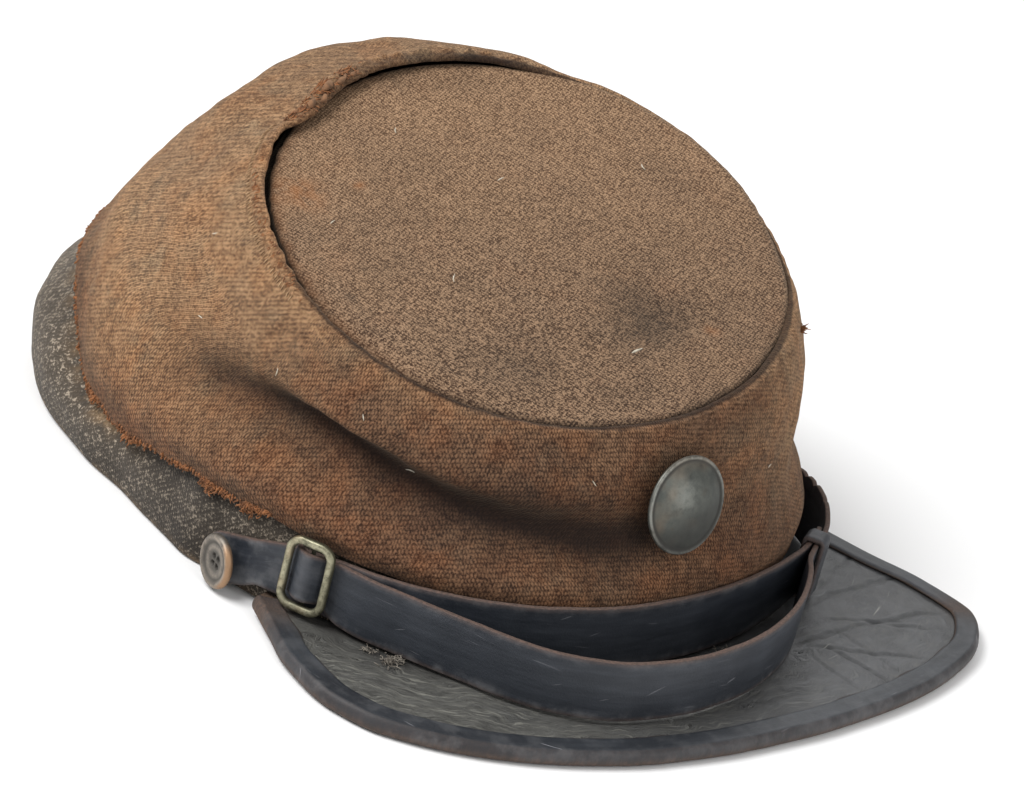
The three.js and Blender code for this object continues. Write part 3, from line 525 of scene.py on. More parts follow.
def twill(g, pitch, angle, bead, wobble=0.5):
    """height of a diagonal weave on the cloth's own coordinates, 0..1"""
    u, v = g.uv()
    w1 = (g.noise(9.0, w=1.3) - 0.5) * wobble * 3
    w2 = (g.noise(2.2, w=2.7) - 0.5) * wobble
    u = u + w1 + w2
    v = v + (g.noise(8.0, w=5.1) - 0.5) * wobble * 3 + (g.noise(2.0, w=7.7) - 0.5) * wobble
    c, s = math.cos(math.radians(angle)), math.sin(math.radians(angle))
    a, b = u * c + v * s, v * c - u * s
    rib = (b * (TAU / pitch)).cos() * 0.5 + 0.5
    row = (b / pitch + 0.5).floor()
    knot = ((a / bead + row * 0.5) * TAU).cos() * 0.5 + 0.5
    return rib, knot, a, b


def crown_cloth():
    g = G("crown_cloth")
    a, b = g.uv("Rib")
    a = a + (g.noise(6.0, w=1.3) - 0.5) * 1.2 + (g.noise(1.8, w=2.7) - 0.5) * 0.5
    b = b + (g.noise(6.0, w=5.1) - 0.5) * 1.3 + (g.noise(1.6, w=7.7) - 0.5) * 0.50
    rib = (b * (TAU / 1.10)).cos() * 0.5 + 0.5
    row = (b / 1.10 + 0.5).floor()
    knot = ((a / 0.80 + row * 0.5 + g.noise(1.4, w=12.0) * 1.2) * TAU).cos() * 0.5 + 0.5
    fine = g.noise(0.28, detail=3.0, rough=0.8, w=3.0)
    speck = g.noise(0.58, detail=2.0, rough=0.7, w=9.0)
    grit = g.noise(1.15, detail=2.0, rough=0.65, w=29.0)
    mid = g.noise(3.2, detail=3.0, rough=0.6, w=4.0)
    patch = g.noise(11.0, detail=3.0, rough=0.6, w=14.0)
    patch2 = g.noise(9.0, detail=3.0, rough=0.6, w=24.0)
    broad = g.noise(26.0, detail=3.0, w=6.0)
    fade, rust, grime_and_shade, felt = g.attr("fade"), g.attr("rust"), g.attr("grime_and_shade"), g.attr("felt")
    worn = (1.0 - felt * 0.40) * (mid.map(0.25, 0.75) * 0.6 + 0.45)
    yarn = (rib * 0.5 + 0.5) * (knot * (0.72 - felt * 0.35) + (0.28 + felt * 0.35)) * worn
    height = yarn * 0.65 + fine * 0.60 + speck * 0.50 + grit * 0.25
    f = (fade + (broad - 0.5) * 0.6 + (mid - 0.5) * 0.25).clamp()
    base = g.mix(f, (0.060, 0.029, 0.018), (0.314, 0.180, 0.094))
    base = g.mix((patch.map(0.43, 0.66) * 0.70 + rust * 0.75 + (mid - 0.5) * 0.5 * rust).clamp(), base, g.mix(f, (0.140, 0.047, 0.018), (0.345, 0.156, 0.064)))
    base = g.mix(patch2.map(0.50, 0.70) * 0.62, base, g.mix(f, (0.040, 0.029, 0.023), (0.232, 0.168, 0.105)))
    tone = yarn * 0.85 + (fine - 0.5) * 1.20 + (speck - 0.5) * 1.50 + (grit - 0.5) * 0.65 + 0.15
    dark = g.mix(1.0, base, (0.25, 0.23, 0.25), "MULTIPLY")
    light = g.mix(0.30, base, g.mix(f, (0.40, 0.215, 0.120), (0.64, 0.42, 0.232)))
    col = g.mix(tone.map(0.0, 1.0), dark, light)
    col = g.mix(speck.map(0.62, 0.80) * yarn.map(0.3, 0.75) * (f * 0.16 + 0.26), col, (0.56, 0.39, 0.25))
    # grime darkens by real dirt and by painted shade in the fold, along the hem and lip, and inside
    col = g.mix((grime_and_shade + (mid - 0.5) * 0.35 * grime_and_shade).clamp() * 0.92, col, g.mix(0.45, (0.020, 0.013, 0.012), col, "MULTIPLY"))
    return g.done(col, height, dist=0.36, strength=0.85, rough=0.97, sheen=0.10, tint=(0.9, 0.7, 0.5), spec=0.15)


def top_cloth():
    g = G("top_cloth")
    u, v = g.uv()
    u = u + (g.noise(7.0, w=1.0) - 0.5) * 1.8 + (g.noise(1.4, w=2.0) - 0.5) * 0.55
    v = v + (g.noise(7.0, w=3.0) - 0.5) * 1.8 + (g.noise(1.4, w=4.0) - 0.5) * 0.55
    c, s = math.cos(math.radians(24)), math.sin(math.radians(24))
    a, b = u * c + v * s, v * c - u * s
    warp = (a * (TAU / 0.80)).cos() * 0.5 + 0.5
    weft = (b * (TAU / 0.80)).cos() * 0.5 + 0.5
    fine = g.noise(0.30, detail=3.0, rough=0.75, w=3.0)
    speck = g.noise(0.52, detail=2.0, rough=0.65, w=9.0)
    coarse = g.noise(0.95, detail=2.0, rough=0.6, w=19.0)
    mid = g.noise(3.5, detail=3.0, w=4.0)
    broad = g.noise(18.0, detail=4.0, rough=0.6, w=6.0)
    patch = g.noise(9.0, detail=3.0, rough=0.6, w=14.0)
    fade, grime_and_shade, rust, nap = g.attr("fade"), g.attr("grime_and_shade"), g.attr("rust"), g.attr("nap")
    yarn = warp * weft
    height = yarn * 0.40 + fine * 0.55 + speck * 0.45 + coarse * nap * 0.5
    f = (fade + (broad - 0.5) * 1.1 + (mid - 0.5) * 0.35).clamp()
    base = g.mix(f, (0.098, 0.051, 0.032), (0.262, 0.150, 0.082))
    base = g.mix((patch.map(0.52, 0.74) * 0.5 + rust).clamp() * 0.8, base, g.mix(f, (0.150, 0.062, 0.032), (0.275, 0.130, 0.062)))
    tone = yarn * 0.50 + (fine - 0.5) * 1.35 + (speck - 0.5) * 2.05 + (coarse - 0.5) * (nap * 1.3 + 0.7) + 0.31
    dark = g.mix(1.0, base, (0.27, 0.24, 0.23), "MULTIPLY")
    light = g.mix(0.36, base, (0.62, 0.415, 0.255))
    col = g.mix(tone.map(0.0, 1.0), dark, light)
    blot = (broad * 0.6 + mid * 0.4).map(0.55, 0.70) * 0.30
    # grime darkens by dirt and by painted shade in the top's dents and along its seam edge
    col = g.mix((grime_and_shade * (mid.map(0.2, 0.6) * 0.6 + 0.5) + blot).clamp() * 0.75, col, g.mix(0.55, (0.046, 0.037, 0.031), col, "MULTIPLY"))
    col = g.mix((rust * (mid.map(0.35, 0.6))) * 0.6, col, (0.27, 0.105, 0.035))
    # painted shade: near black where the top's turned edge and underside lie in the seam gap
    col = g.mix(g.attr("gap") * 0.95, col, (0.010, 0.009, 0.009))
    return g.done(col, height, dist=0.34, strength=0.85, rough=0.97, sheen=0.12, tint=(0.9, 0.75, 0.55), spec=0.15)


def band_cloth():
    g = G("band_cloth")
    rib, knot, a, b = twill(g, 1.15, 38.0, 0.95, wobble=0.45)
    fine = g.noise(0.30, detail=3.0, rough=0.75, w=3.0)
    speck = g.noise(0.55, detail=2.0, rough=0.7, w=9.0)
    clump = g.noise(1.6, detail=2.0, rough=0.6, w=13.0)
    mid = g.noise(5.0, detail=3.0, w=4.0)
    broad = g.noise(18.0, detail=3.0, w=6.0)
    fade, grime_and_shade = g.attr("fade"), g.attr("grime_and_shade")
    yarn = rib * (knot * 0.75 + 0.25)
    height = yarn * 0.45 + fine * 0.5 + speck * 0.5
    base = g.mix((fade + (broad - 0.5) * 1.0).clamp(), (0.014, 0.012, 0.011), (0.078, 0.064, 0.050))
    lit = (yarn * 0.38 + (speck - 0.5) * 3.6 + (clump - 0.5) * 2.4 + (fine - 0.5) * 1.3 - 0.06 + (fade - 0.5) * 0.25).map(0.12, 0.95)
    col = g.mix(lit * (broad.map(0.25, 0.75) * 0.35 + 0.52), base, (0.42, 0.35, 0.27))
    col = g.mix((fine - 0.4).map(0.2, 0.4) * 0.25, col, (0.30, 0.25, 0.19))
    # grime darkens by dirt and by painted shade under the crown's hem and inside
    col = g.mix(grime_and_shade * 0.8, col, (0.012, 0.010, 0.009))
    col = g.mix(g.attr("tan") * (mid.map(0.40, 0.62)) * (speck.map(0.3, 0.7) * 0.5 + 0.5) * 0.7, col, (0.36, 0.23, 0.12))
    return g.done(col, height, dist=0.40, strength=0.9, rough=0.97, sheen=0.12, tint=(0.8, 0.75, 0.7), spec=0.15)


def peak_leather():
    g = G("peak_leather")
    u, v = g.uv()
    bend = (g.noise(16.0, w=21.0) - 0.5) * 14.0
    bend2 = (g.noise(4.0, w=22.0) - 0.5) * 2.6
    streak = g.noise(0.62, vec=g.vec(u * 0.085 + bend * 0.05, v + bend + bend2), detail=4.0, rough=0.7, w=1.0)
    line = (1.0 - (streak - 0.5).abs() * 13.0).max(0.0)
    line2 = (1.0 - (g.noise(2.4, vec=g.vec(u * 0.12 + v * 0.05, v + bend * 1.3), detail=3.0, rough=0.6, w=31.0) - 0.5).abs() * 22.0).max(0.0)
    fine = g.noise(0.30, detail=3.0, rough=0.7)
    mid = g.noise(5.0, detail=4.0, rough=0.6, w=1.0)
    broad = g.noise(26.0, detail=3.0, w=4.0)
    left, dirt_and_shadow, tip, crease = g.attr("left"), g.attr("dirt_and_shadow"), g.attr("tip"), g.attr("crease")
    base = g.mix((left + (broad - 0.5) * 0.5).clamp(), (0.056, 0.058, 0.062), (0.096, 0.095, 0.086))
    col = g.mix(streak.map(0.46, 0.70) * (left * 0.62 + 0.12), base, (0.215, 0.210, 0.180))
    col = g.mix(mid.map(0.50, 0.80) * 0.30, col, (0.17, 0.165, 0.15))
    col = g.mix((line * 0.40 + line2 * 0.45) * (left * 0.75 + 0.10), col, (0.014, 0.013, 0.012))
    col = g.mix((fine - 0.45).map(0.1, 0.35) * (left * 0.4 + 0.15), col, (0.30, 0.29, 0.26))
    # painted shade along the middle of the peak's creases
    col = g.mix(crease * 0.75, col, (0.010, 0.010, 0.011))
    scr = g.noise(1.1, vec=g.vec(u * 0.05 + v * 0.03, v * 0.8 - u * 0.16), detail=2.0, w=5.0).map(0.70, 0.76)
    scr2 = g.noise(1.0, vec=g.vec(u * 0.05, v * 0.7 + u * 0.3), detail=2.0, w=11.0).map(0.71, 0.76)
    col = g.mix((scr + scr2).clamp() * 0.55, col, (0.36, 0.35, 0.32))
    # dirt darkens by random dirt and by painted shadow along the root and under the strap
    col = g.mix(dirt_and_shadow * (mid.map(0.25, 0.6) * 0.7 + 0.3), col, (0.020, 0.018, 0.016))
    col = g.mix((tip + (mid - 0.5) * 0.5 * tip).clamp(), col, (0.105, 0.062, 0.036))
    height = streak * 0.65 * (left * 0.8 + 0.12) - line * 0.5 * (left * 0.8 + 0.15) + fine * 0.14 + mid * 0.7
    rough = (0.42 + streak * 0.18 + (mid - 0.5) * 0.30 + dirt_and_shadow * 0.3).clamp()
    return g.done(col, height, dist=0.34, strength=0.8, rough=rough, spec=0.45)


def edge_leather(name, dark, lightc, raw, wear=0.5):
    """smooth strap or binding leather with a raw edge"""
    g = G(name)
    u, v = g.uv()
    grain = g.cells(0.55, feature="F1")
    fine = g.noise(0.3, detail=3.0, rough=0.7)
    mid = g.noise(5.0, detail=4.0, rough=0.6, w=1.0)
    broad = g.noise(24.0, detail=3.0, w=4.0)
    along = g.noise(1.4, vec=g.vec(u * 0.10, v), detail=3.0, rough=0.6, w=2.0)
    edge, rub_and_light = g.attr("edge"), g.attr("rub_and_light")
    col = g.mix((broad * 0.7 + along * 0.5 - 0.2).map(0.2, 0.8), dark, lightc)
    scr = g.noise(0.9, vec=g.vec(u * 0.07 + v * 0.02, v * 0.9 + u * 0.10), detail=2.0, w=5.0).map(0.68, 0.75)
    scr2 = g.noise(0.8, vec=g.vec(u * 0.10, v * 0.9 - u * 0.35), detail=1.0, w=15.0).map(0.73, 0.78)
    col = g.mix((scr * 0.4 + scr2 * 0.7).clamp() * wear, col, (0.26, 0.26, 0.28))
    col = g.mix((fine - 0.5).map(0.08, 0.3) * 0.22, col, (0.17, 0.17, 0.18))
    # rub lightens rubbed edges, and on the straps near the buckle it is painted light
    col = g.mix(rub_and_light * (mid.map(0.42, 0.66)) * 0.75, col, (0.150, 0.150, 0.155))
    fibre = g.noise(0.5, vec=g.vec(u * 0.5, v), detail=3.0, rough=0.7, w=8.0)
    rawc = g.mix(fibre.map(0.35, 0.75), raw, (raw[0] * 2.4, raw[1] * 2.1, raw[2] * 2.0))
    col = g.mix((edge + (fine - 0.5) * 0.6 * edge).clamp(), col, rawc)
    height = grain * 0.25 + fine * 0.15 + along * 0.5 + mid * 0.5 - (scr + scr2) * 0.3
    rough = (0.40 + mid * 0.18 + edge * 0.35 + rub_and_light * 0.15).clamp()
    return g.done(col, height, dist=0.14, strength=0.7, rough=rough, spec=0.45)


def old_metal(name, base, dark, bright, spot, rough0=0.38, metal=0.85, scale=1.0):
    g = G(name)
    big = g.noise(4.5 * scale, detail=4.0, rough=0.6, w=1.0)
    mid = g.noise(1.4 * scale, detail=4.0, rough=0.65, w=2.0)
    fine = g.noise(0.28, detail=3.0, rough=0.7, w=3.0)
    deep, rim, warm = g.attr("deep"), g.attr("rim"), g.attr("warm")
    col = g.mix((big * 0.7 + mid * 0.5 - 0.1).map(0.25, 0.8), dark, base)
    # rim brightens polished edges and, on the front button, a painted highlight; deep darkens hollows and, on the front
    # button, paints shade over the lower right
    col = g.mix((rim * (mid.map(0.25, 0.65))) * 0.8, col, bright)
    col = g.mix(mid.map(0.60, 0.72) * 0.5, col, spot)
    col = g.mix((warm * (big.map(0.25, 0.55))) * 0.8, col, (0.40, 0.235, 0.125))
    col = g.mix(deep * 0.85, col, (0.018, 0.016, 0.013))
    rough = (rough0 + mid * 0.22 + deep * 0.3 + big * 0.10).clamp()
    return g.done(col, big * 0.5 + mid * 0.35 + fine * 0.18, dist=0.10, strength=0.6, rough=rough, metal=(metal - deep * 0.6).clamp() if metal else 0.0, spec=0.5)


def thread_mat(name, a, b):
    g = G(name)
    t = g.noise(1.6, detail=2.0, w=3.0)
    fine = g.noise(0.2, detail=2.0)
    return g.done(g.mix(t.map(0.3, 0.7), a, b), fine, dist=0.05, rough=0.95, sheen=0.15, tint=(0.9, 0.7, 0.5), spec=0.1)


M_CROWN, M_TOP, M_BAND = crown_cloth(), top_cloth(), band_cloth()
M_PEAK = peak_leather()
M_BIND = edge_leather("binding_leather", (0.010, 0.012, 0.016), (0.037, 0.042, 0.050), (0.060, 0.040, 0.028), wear=0.9)
M_STRAP = edge_leather("strap_leather", (0.0115, 0.0145, 0.0205), (0.047, 0.053, 0.065), (0.062, 0.043, 0.035), wear=0.45)
M_BUCKLE = old_metal("buckle_brass", (0.168, 0.160, 0.103), (0.095, 0.092, 0.060), (0.50, 0.47, 0.33), (0.10, 0.07, 0.04), rough0=0.30)
M_PEWTER = old_metal("button_pewter", (0.115, 0.120, 0.106), (0.045, 0.049, 0.045), (0.34, 0.34, 0.31), (0.085, 0.070, 0.050), rough0=0.30, scale=1.4)
M_SIDE = old_metal("button_tarnished", (0.225, 0.205, 0.178), (0.105, 0.094, 0.082), (0.44, 0.37, 0.30), (0.07, 0.045, 0.03), rough0=0.36, metal=0.8)
M_RUST_THREAD = thread_mat("rust_thread", (0.300, 0.125, 0.052), (0.120, 0.055, 0.030))
M_DARK_THREAD = thread_mat("dark_thread", (0.045, 0.030, 0.021), (0.17, 0.105, 0.06))
M_GREY_THREAD = thread_mat("grey_thread", (0.060, 0.052, 0.045), (0.26, 0.235, 0.20))
M_FELT = thread_mat("rusty_felt", (0.250, 0.130, 0.068), (0.125, 0.072, 0.044))
M_TAN_THREAD = thread_mat("tan_thread", (0.20, 0.115, 0.062), (0.42, 0.28, 0.16))
M_LINT = thread_mat("pale_lint", (0.62, 0.58, 0.50), (0.40, 0.36, 0.28))


# ------------------------------------------------------------------ crown wall
def crown_spine(phi):
    a = wrap(phi)
    c = {k: f(a) for k, f in crown_at.items()}
    w = {k: f(a) for k, f in wear_at.items()}
    hem = c["hem"] + w["rise"]
    foot = band_off(a, hem)
    stand = (GAP + CROWN_T + slack_at(a)) * np.hypot(1, (c["b1"] - foot) / (c["z1"] - hem))
    return np.stack([
        around(a, foot + stand, hem),
        around(a, c["b1"] + stand, c["z1"] + 0.4 * w["rise"]),
        around(a, c["b2"] + stand, c["z2"]),
        on_top(a, TOP_R + c["seam"] + c["b3"], -c["d3"]),
        on_top(a, TOP_R + c["seam"] + c["b4"], -c["d4"]),
        on_top(a, TOP_R + c["seam"] + SEAM_LAP - w["lap"], c["lip"] + w["lift"]),
    ])


N = 720
PHI = -180 + 360 * np.arange(N) / N
T = np.linspace(0, 5, 104)
SP = crown_spine(PHI)
SURF = catmull(SP, T)
d_phi = np.roll(SURF, -1, 0) - np.roll(SURF, 1, 0)
d_t = np.gradient(SURF, axis=1)
NORM = unit(np.cross(d_phi, d_t))

# the front button's place, from the wall's own face
_fi = int(np.argmin(np.abs(PHI - FRONT_BUTTON["phi"])))
_fj = int(np.argmax(SURF[_fi, :, 2] > FRONT_BUTTON["z"]))
BUTTON_P, BUTTON_N = SURF[_fi, _fj], NORM[_fi, _fj]

# slumps and swellings of the soft wall, outward in millimetres
SLUMP = rows(
    "phi t wide tall out",
    (-140, 1.5, 6.5, 0.9, -2.9),
    (-155, 2.7, 7.0, 0.9, 1.5),
    (-167, 3.1, 9.0, 0.9, 1.4),
    (-180, 3.3, 9.0, 0.8, 1.5),
    (169, 3.4, 6.0, 0.7, 1.3),
    (150, 4.0, 12.0, 0.6, 0.8),
    (70, 3.8, 20.0, 1.1, -1.9),
    (50, 3.2, 12.0, 0.8, -0.7),
)
for q_phi, q_t, q_w, q_h, q_out in zip(*[SLUMP[k] for k in "phi t wide tall out".split()]):
    SURF = SURF + NORM * (q_out * bump(wrap(PHI - q_phi), 0, q_w)[:, None] * bump(T, q_t, q_h)[None])[..., None]
U_mid = arclen(np.concatenate([SURF[:, 40], SURF[:1, 40]]))
V_len = np.concatenate([np.zeros((N, 1)), np.cumsum(np.linalg.norm(np.diff(SURF, axis=1), axis=-1), axis=1)], 1)
PH, TT = PHI[:, None] + 0 * T[None], T[None] + 0 * PHI[:, None]
left = smooth(-30, -80, PH) * smooth(-179, -150, PH)                 # wearer's right side
back = np.clip(smooth(110, 160, np.abs(PH)), 0, 1)
free = smooth(0.15, 1.0, TT) * smooth(5.0, 4.85, TT)
front_strap = smooth(-68, -60, PH) * smooth(75, 60, PH)
free = free * (1 - front_strap * (1 - smooth(0.6, 1.4, TT)))
near_button = np.exp(-(np.linalg.norm(SURF - BUTTON_P, axis=-1) / 15.0) ** 2)
UV3 = np.stack([U_mid[:-1, None] + 0 * TT, V_len, 0 * TT], -1)
relief = 1.1 * fbm(SURF, 26, 2, 1) + 0.40 * fbm(SURF, 9, 2, 5) + 0.14 * noise(SURF, 3.2, 9)
relief = relief * free * (1 - 0.85 * near_button)
# short pulls running down from the top seam
pull = np.sin(UV3[..., 0] * TAU / 6.2 + 2.5 * noise(SURF, 14, 3)) * bump(TT, 4.72, 0.22)
relief += 0.28 * pull * smooth(-25, -60, PH) * (1 - 0.7 * back) + 0.18 * pull * (1 - smooth(-25, -60, PH))
# creases that run into the long fold
crease = noise(np.stack([UV3[..., 0] / 5.5 + UV3[..., 1] / 18, UV3[..., 1] / 26, 0 * TT], -1), 1.0, 4)
relief += 0.55 * crease * bump(TT, 1.7, 0.55) * smooth(-10, -35, PH) * smooth(-110, -85, PH)
relief += 0.45 * noise(np.stack([UV3[..., 0] / 9, UV3[..., 1] / 40, 0 * TT], -1), 1.0, 6) * bump(TT, 2.6, 0.9) * (0.4 + 0.6 * back)
# a soft dent at the rear of the wearer's right side and one below the lip
relief -= 1.5 * bump(PH, -118, 10) * bump(TT, 2.2, 0.5)
relief -= 1.0 * bump(PH, -142, 8) * bump(TT, 3.1, 0.4)
relief += 0.8 * bump(PH, -128, 7) * bump(TT, 2.9, 0.4)
# rolled lip beside the open seam
roll = bump(TT, 4.80, 0.13) * np.clip(smooth(-60, -95, PH) + smooth(132, 155, PH), 0, 1)
relief += 0.45 * bump(TT, 4.72, 0.17) * smooth(-95, -70, PH) * smooth(50, 20, PH)
relief += 0.35 * pull * bump(TT, 4.85, 0.12) * smooth(135, 155, np.abs(PH))
relief += 0.75 * roll + 0.30 * roll * noise(SURF, 4.0, 12) + 0.45 * bump(TT, 4.85, 0.10) * bump(PH, -158, 9) * noise(SURF, 2.6, 13)
OUT = SURF + NORM * relief[..., None]
# raw hem: uneven lower edge
rag = (0.7 * noise(np.stack([U_mid[:-1] / 2.6, 0 * PHI, 0 * PHI], -1), 1.0, 14) + 0.5 * noise(np.stack([U_mid[:-1] / 0.9, 0 * PHI, 0 * PHI], -1), 1.0, 15))
rag = rag * wear_at["fray"](PHI)
edge_dir = unit(SURF[:, 0] - SURF[:, 3])
for j, k in ((0, 1.0), (1, 0.75), (2, 0.45), (3, 0.2)):
    OUT[:, j] += edge_dir * (rag * k)[:, None]
# torn lip: uneven upper edge
tear = (1.1 * noise(np.stack([U_mid[:-1] / 5.0, 0 * PHI, 0 * PHI], -1), 1.0, 24) + 0.5 * noise(np.stack([U_mid[:-1] / 1.4, 0 * PHI, 0 * PHI], -1), 1.0, 25))
tear = tear * wear_at["rag"](PHI)
lip_dir = unit(SURF[:, -1] - SURF[:, -4])
for j, k in ((-1, 1.0), (-2, 0.7), (-3, 0.4), (-4, 0.15)):
    OUT[:, j] += lip_dir * (tear * k)[:, None] + NORM[:, j] * (0.5 * np.abs(tear) * k)[:, None]

pick = np.linspace(0, len(T) - 1, 26).round().astype(int)
INN = OUT[:, pick] - NORM[:, pick] * CROWN_T
tan0, tan1 = unit(OUT[:, 0] - OUT[:, 1]), unit(OUT[:, -1] - OUT[:, -2])
cap_hi, cap_lo = [], []
for ang in (45, 90, 135):
    c, s = math.cos(math.radians(ang)), math.sin(math.radians(ang))
    cap_hi.append(OUT[:, -1] - NORM[:, -1] * 0.8 + 0.8 * (NORM[:, -1] * c + tan1 * s * 0.8))
    cap_lo.append(OUT[:, 0] - NORM[:, 0] * 0.8 + 0.8 * (NORM[:, 0] * c + tan0 * s * 0.35))
SEC = np.concatenate([OUT, np.stack(cap_hi, 1), INN[:, ::-1], np.stack(cap_lo[::-1], 1)], 1)

# paint masks, by place
fade = 0.10 + 0.82 * smooth(-62, -108, PH) * smooth(0.2, 1.7, TT) + 0.28 * smooth(3.5, 4.7, TT) * smooth(-20, -90, PH)
fade = fade + 0.45 * back + 0.74 * smooth(2, 42, PH) * smooth(0.8, 2.6, TT) + 0.12 * bump(TT, 4.75, 0.25) * smooth(-90, -60, PH)
fade = np.clip(fade + 0.18 * bump(PH, 6, 14) * bump(TT, 3.5, 0.8), 0, 1)
rust = 0.40 * bump(TT, 0.0, 0.35) * left + 0.65 * bump(TT, 5.0, 0.20) * smooth(-70, -100, PH) * smooth(-180, -168, PH) + 0.45 * bump(TT, 1.0, 0.7) * bump(PH, -62, 26)
rust += 0.30 * fbm(SURF, 18, 2, 31) + 0.55 * bump(PH, 12, 16) * bump(TT, 1.2, 0.7) + 0.40 * bump(PH, -92, 16) * bump(TT, 1.3, 0.8)
rust += 0.35 * bump(PH, -116, 5) * bump(TT, 2.4, 0.3) + 0.3 * bump(PH, -100, 6) * bump(TT, 2.9, 0.4)
rust = np.clip(rust, 0, 1)
# painted shade: valley darkens the long fold under the roll above it; grime also paints shade around that roll, along
# the hem just over the strap, along the lip round the top seam and over the whole inside (0.75); its fbm term is random
# real dirt
valley = bump(TT, 2.18, 0.52) * smooth(-96, -74, PH) * smooth(4, -14, PH)
grime_and_shade = 1.0 * valley + 0.40 * bump(TT, 2.95, 0.55) * bump(PH, -42, 24) + 0.16 * bump(TT, 0.9, 0.6) * bump(PH, -34, 16) + 0.55 * bump(TT, 0.0, 0.30) * bump(PH, -50, 26) + 0.85 * bump(TT, 5.0, 0.075) * smooth(-112, -85, PH) * smooth(178, 140, PH) + 0.20 * bump(PH, 5, 18) * bump(TT, 1.9, 0.6)
grime_and_shade += 0.35 * np.clip(fbm(SURF, 15, 2, 41), 0, 1) * (1 - fade) + 0.45 * bump(PH, -88, 5) * bump(TT, 2.1, 0.4)
grime_and_shade += 0.6 * bump(TT, 4.97, 0.12) * smooth(140, 160, np.abs(PH)) + 0.35 * bump(PH, 16, 6) * bump(TT, 3.9, 0.5) + 0.3 * bump(PH, -30, 10) * bump(TT, 2.9, 0.4)
grime_and_shade = np.clip(grime_and_shade, 0, 1)
felt = np.clip(0.7 * smooth(-115, -160, PH) + 0.7 * smooth(130, 180, PH) + 0.3 * back + 0.5 * bump(TT, 5.0, 0.3) * left, 0, 1)


def closed_masks(m, inner=0.0, hi=None, lo=None):
    """carry an outer mask over the caps and give the inside one value"""
    a = m[:, -1:] if hi is None else np.full((N, 1), hi)
    b = m[:, :1] if lo is None else np.full((N, 1), lo)
    return np.concatenate([m, np.repeat(a, 3, 1), np.full((N, len(pick)), inner), np.repeat(b, 3, 1)], 1)


vv = np.concatenate([V_len, V_len[:, -1:] + np.array([[0.5, 1.0, 1.5]]), V_len[:, pick][:, ::-1] + 2.0, V_len[:, :1] + np.array([[-1.5, -1.0, -0.5]])], 1)
uvg = np.zeros((N + 1, SEC.shape[1] + 1, 2))
uvg[:N, :-1, 0] = U_mid[:-1, None]
uvg[N, :, 0] = U_mid[-1]
uvg[:N, -1, 0] = U_mid[:-1]
uvg[:N, :-1, 1] = vv
uvg[:N, -1, 1] = vv[:, 0]
uvg[N, :, 1] = uvg[0, :, 1]
# the twill's run: level across the front and the wearer's right, turning with the wall behind
LEVEL = np.array([0.1003812, 0.4704709, 0.8766874])
ACROSS = np.array([0.7561327, -0.6087745, 0.2401188])
Pg = np.zeros((N + 1, SEC.shape[1] + 1, 3))
Pg[:N, :-1], Pg[N, :-1], Pg[:N, -1], Pg[N, -1] = SEC, SEC[0], SEC[:, 0], SEC[0, 0]
ph_g = np.append(PHI, 180.0)[:, None]
kk = smooth(80, 25, ph_g)
c30, s30 = math.cos(math.radians(24)), math.sin(math.radians(24))
b_wall, a_wall = uvg[..., 1] * c30 - uvg[..., 0] * s30, uvg[..., 0] * c30 + uvg[..., 1] * s30
b_level, a_level = Pg @ LEVEL, uvg[..., 0] + 0.15 * uvg[..., 1]
i50, j50 = int((50 + 180) / 360 * N), 50
b_wall, a_wall = b_wall + (b_level - b_wall)[i50, j50], a_wall + (a_level - a_wall)[i50, j50]
ribg = np.stack([a_level * kk + a_wall * (1 - kk), b_level * kk + b_wall * (1 - kk)], -1)
me = grid_mesh("crown", SEC, True, True, uvg, dict(
    fade=closed_masks(fade, 0.2), rust=closed_masks(rust, 0.1), grime_and_shade=closed_masks(grime_and_shade, 0.75), felt=closed_masks(felt, 0.8)), uv2=ribg)
finish_piece(me, "crown_shell", M_CROWN, ["crown"])

# ------------------------------------------------------------------ round top
NT = 540
phi_t = -180 + 360 * np.arange(NT) / NT
edge_r = TOP_R + crown_at["seam"](phi_t) - crown_at["gape"](phi_t)
nick = 0.25 * noise(np.stack([phi_t / 2.0, 0 * phi_t, 0 * phi_t], -1), 1.0, 3) * smooth(-40, -90, phi_t)
edge_r = edge_r + nick + 1.25 * smooth(28, 60, phi_t) * smooth(152, 126, phi_t) - 1.5 * bump(phi_t, 68, 20)
prof = []
for r in np.linspace(0.006, 1.0, 62):
    prof.append((edge_r * r, None))
R = np.stack([p[0] for p in prof], 1)
x = np.clip((R - (edge_r[:, None] - 1.6)) / 1.6, 0, 1)
H = -1.2 * (1 - (R / TOP_R) ** 2) - 0.8 * (1 - np.sqrt(np.clip(1 - 0.96 * x * x, 0, 1)))
flat = np.stack([R * np.sin(np.radians(phi_t))[:, None], -R * np.cos(np.radians(phi_t))[:, None], 0 * R], -1)
keep = smooth(0, 6, edge_r[:, None] - R)
H = H + keep * (0.55 * fbm(flat, 30, 2, 51) + 0.22 * fbm(flat, 9, 2, 55) + 0.08 * noise(flat, 3.0, 58))
H = H - 0.9 * bump(flat[..., 0], 11, 12) * bump(flat[..., 1], -35, 9) * keep - 0.5 * bump(flat[..., 0], 12, 7) * bump(flat[..., 1], -22, 7) * keep
H = H + 0.5 * bump(R, 58, 3.5) * smooth(-20, -60, wrap(phi_t))[:, None]
tail = [(edge_r + 0.02, -1.2), (edge_r + 0.05, -1.9), (edge_r + 0.3, -2.6), (TOP_R + crown_at["seam"](phi_t) + 0.9, -3.1),
        (TOP_R + crown_at["seam"](phi_t) + 0.9, -3.7), (edge_r - 1.5, -3.6), (edge_r - 3.0, -2.6)]
tail = [(a, np.full(NT, b)) for a, b in tail]
under = [(edge_r * f, -1.2 * (1 - (edge_r * f / TOP_R) ** 2) - TOP_T - 0.2) for f in (0.9, 0.7, 0.45, 0.2, 0.02)]
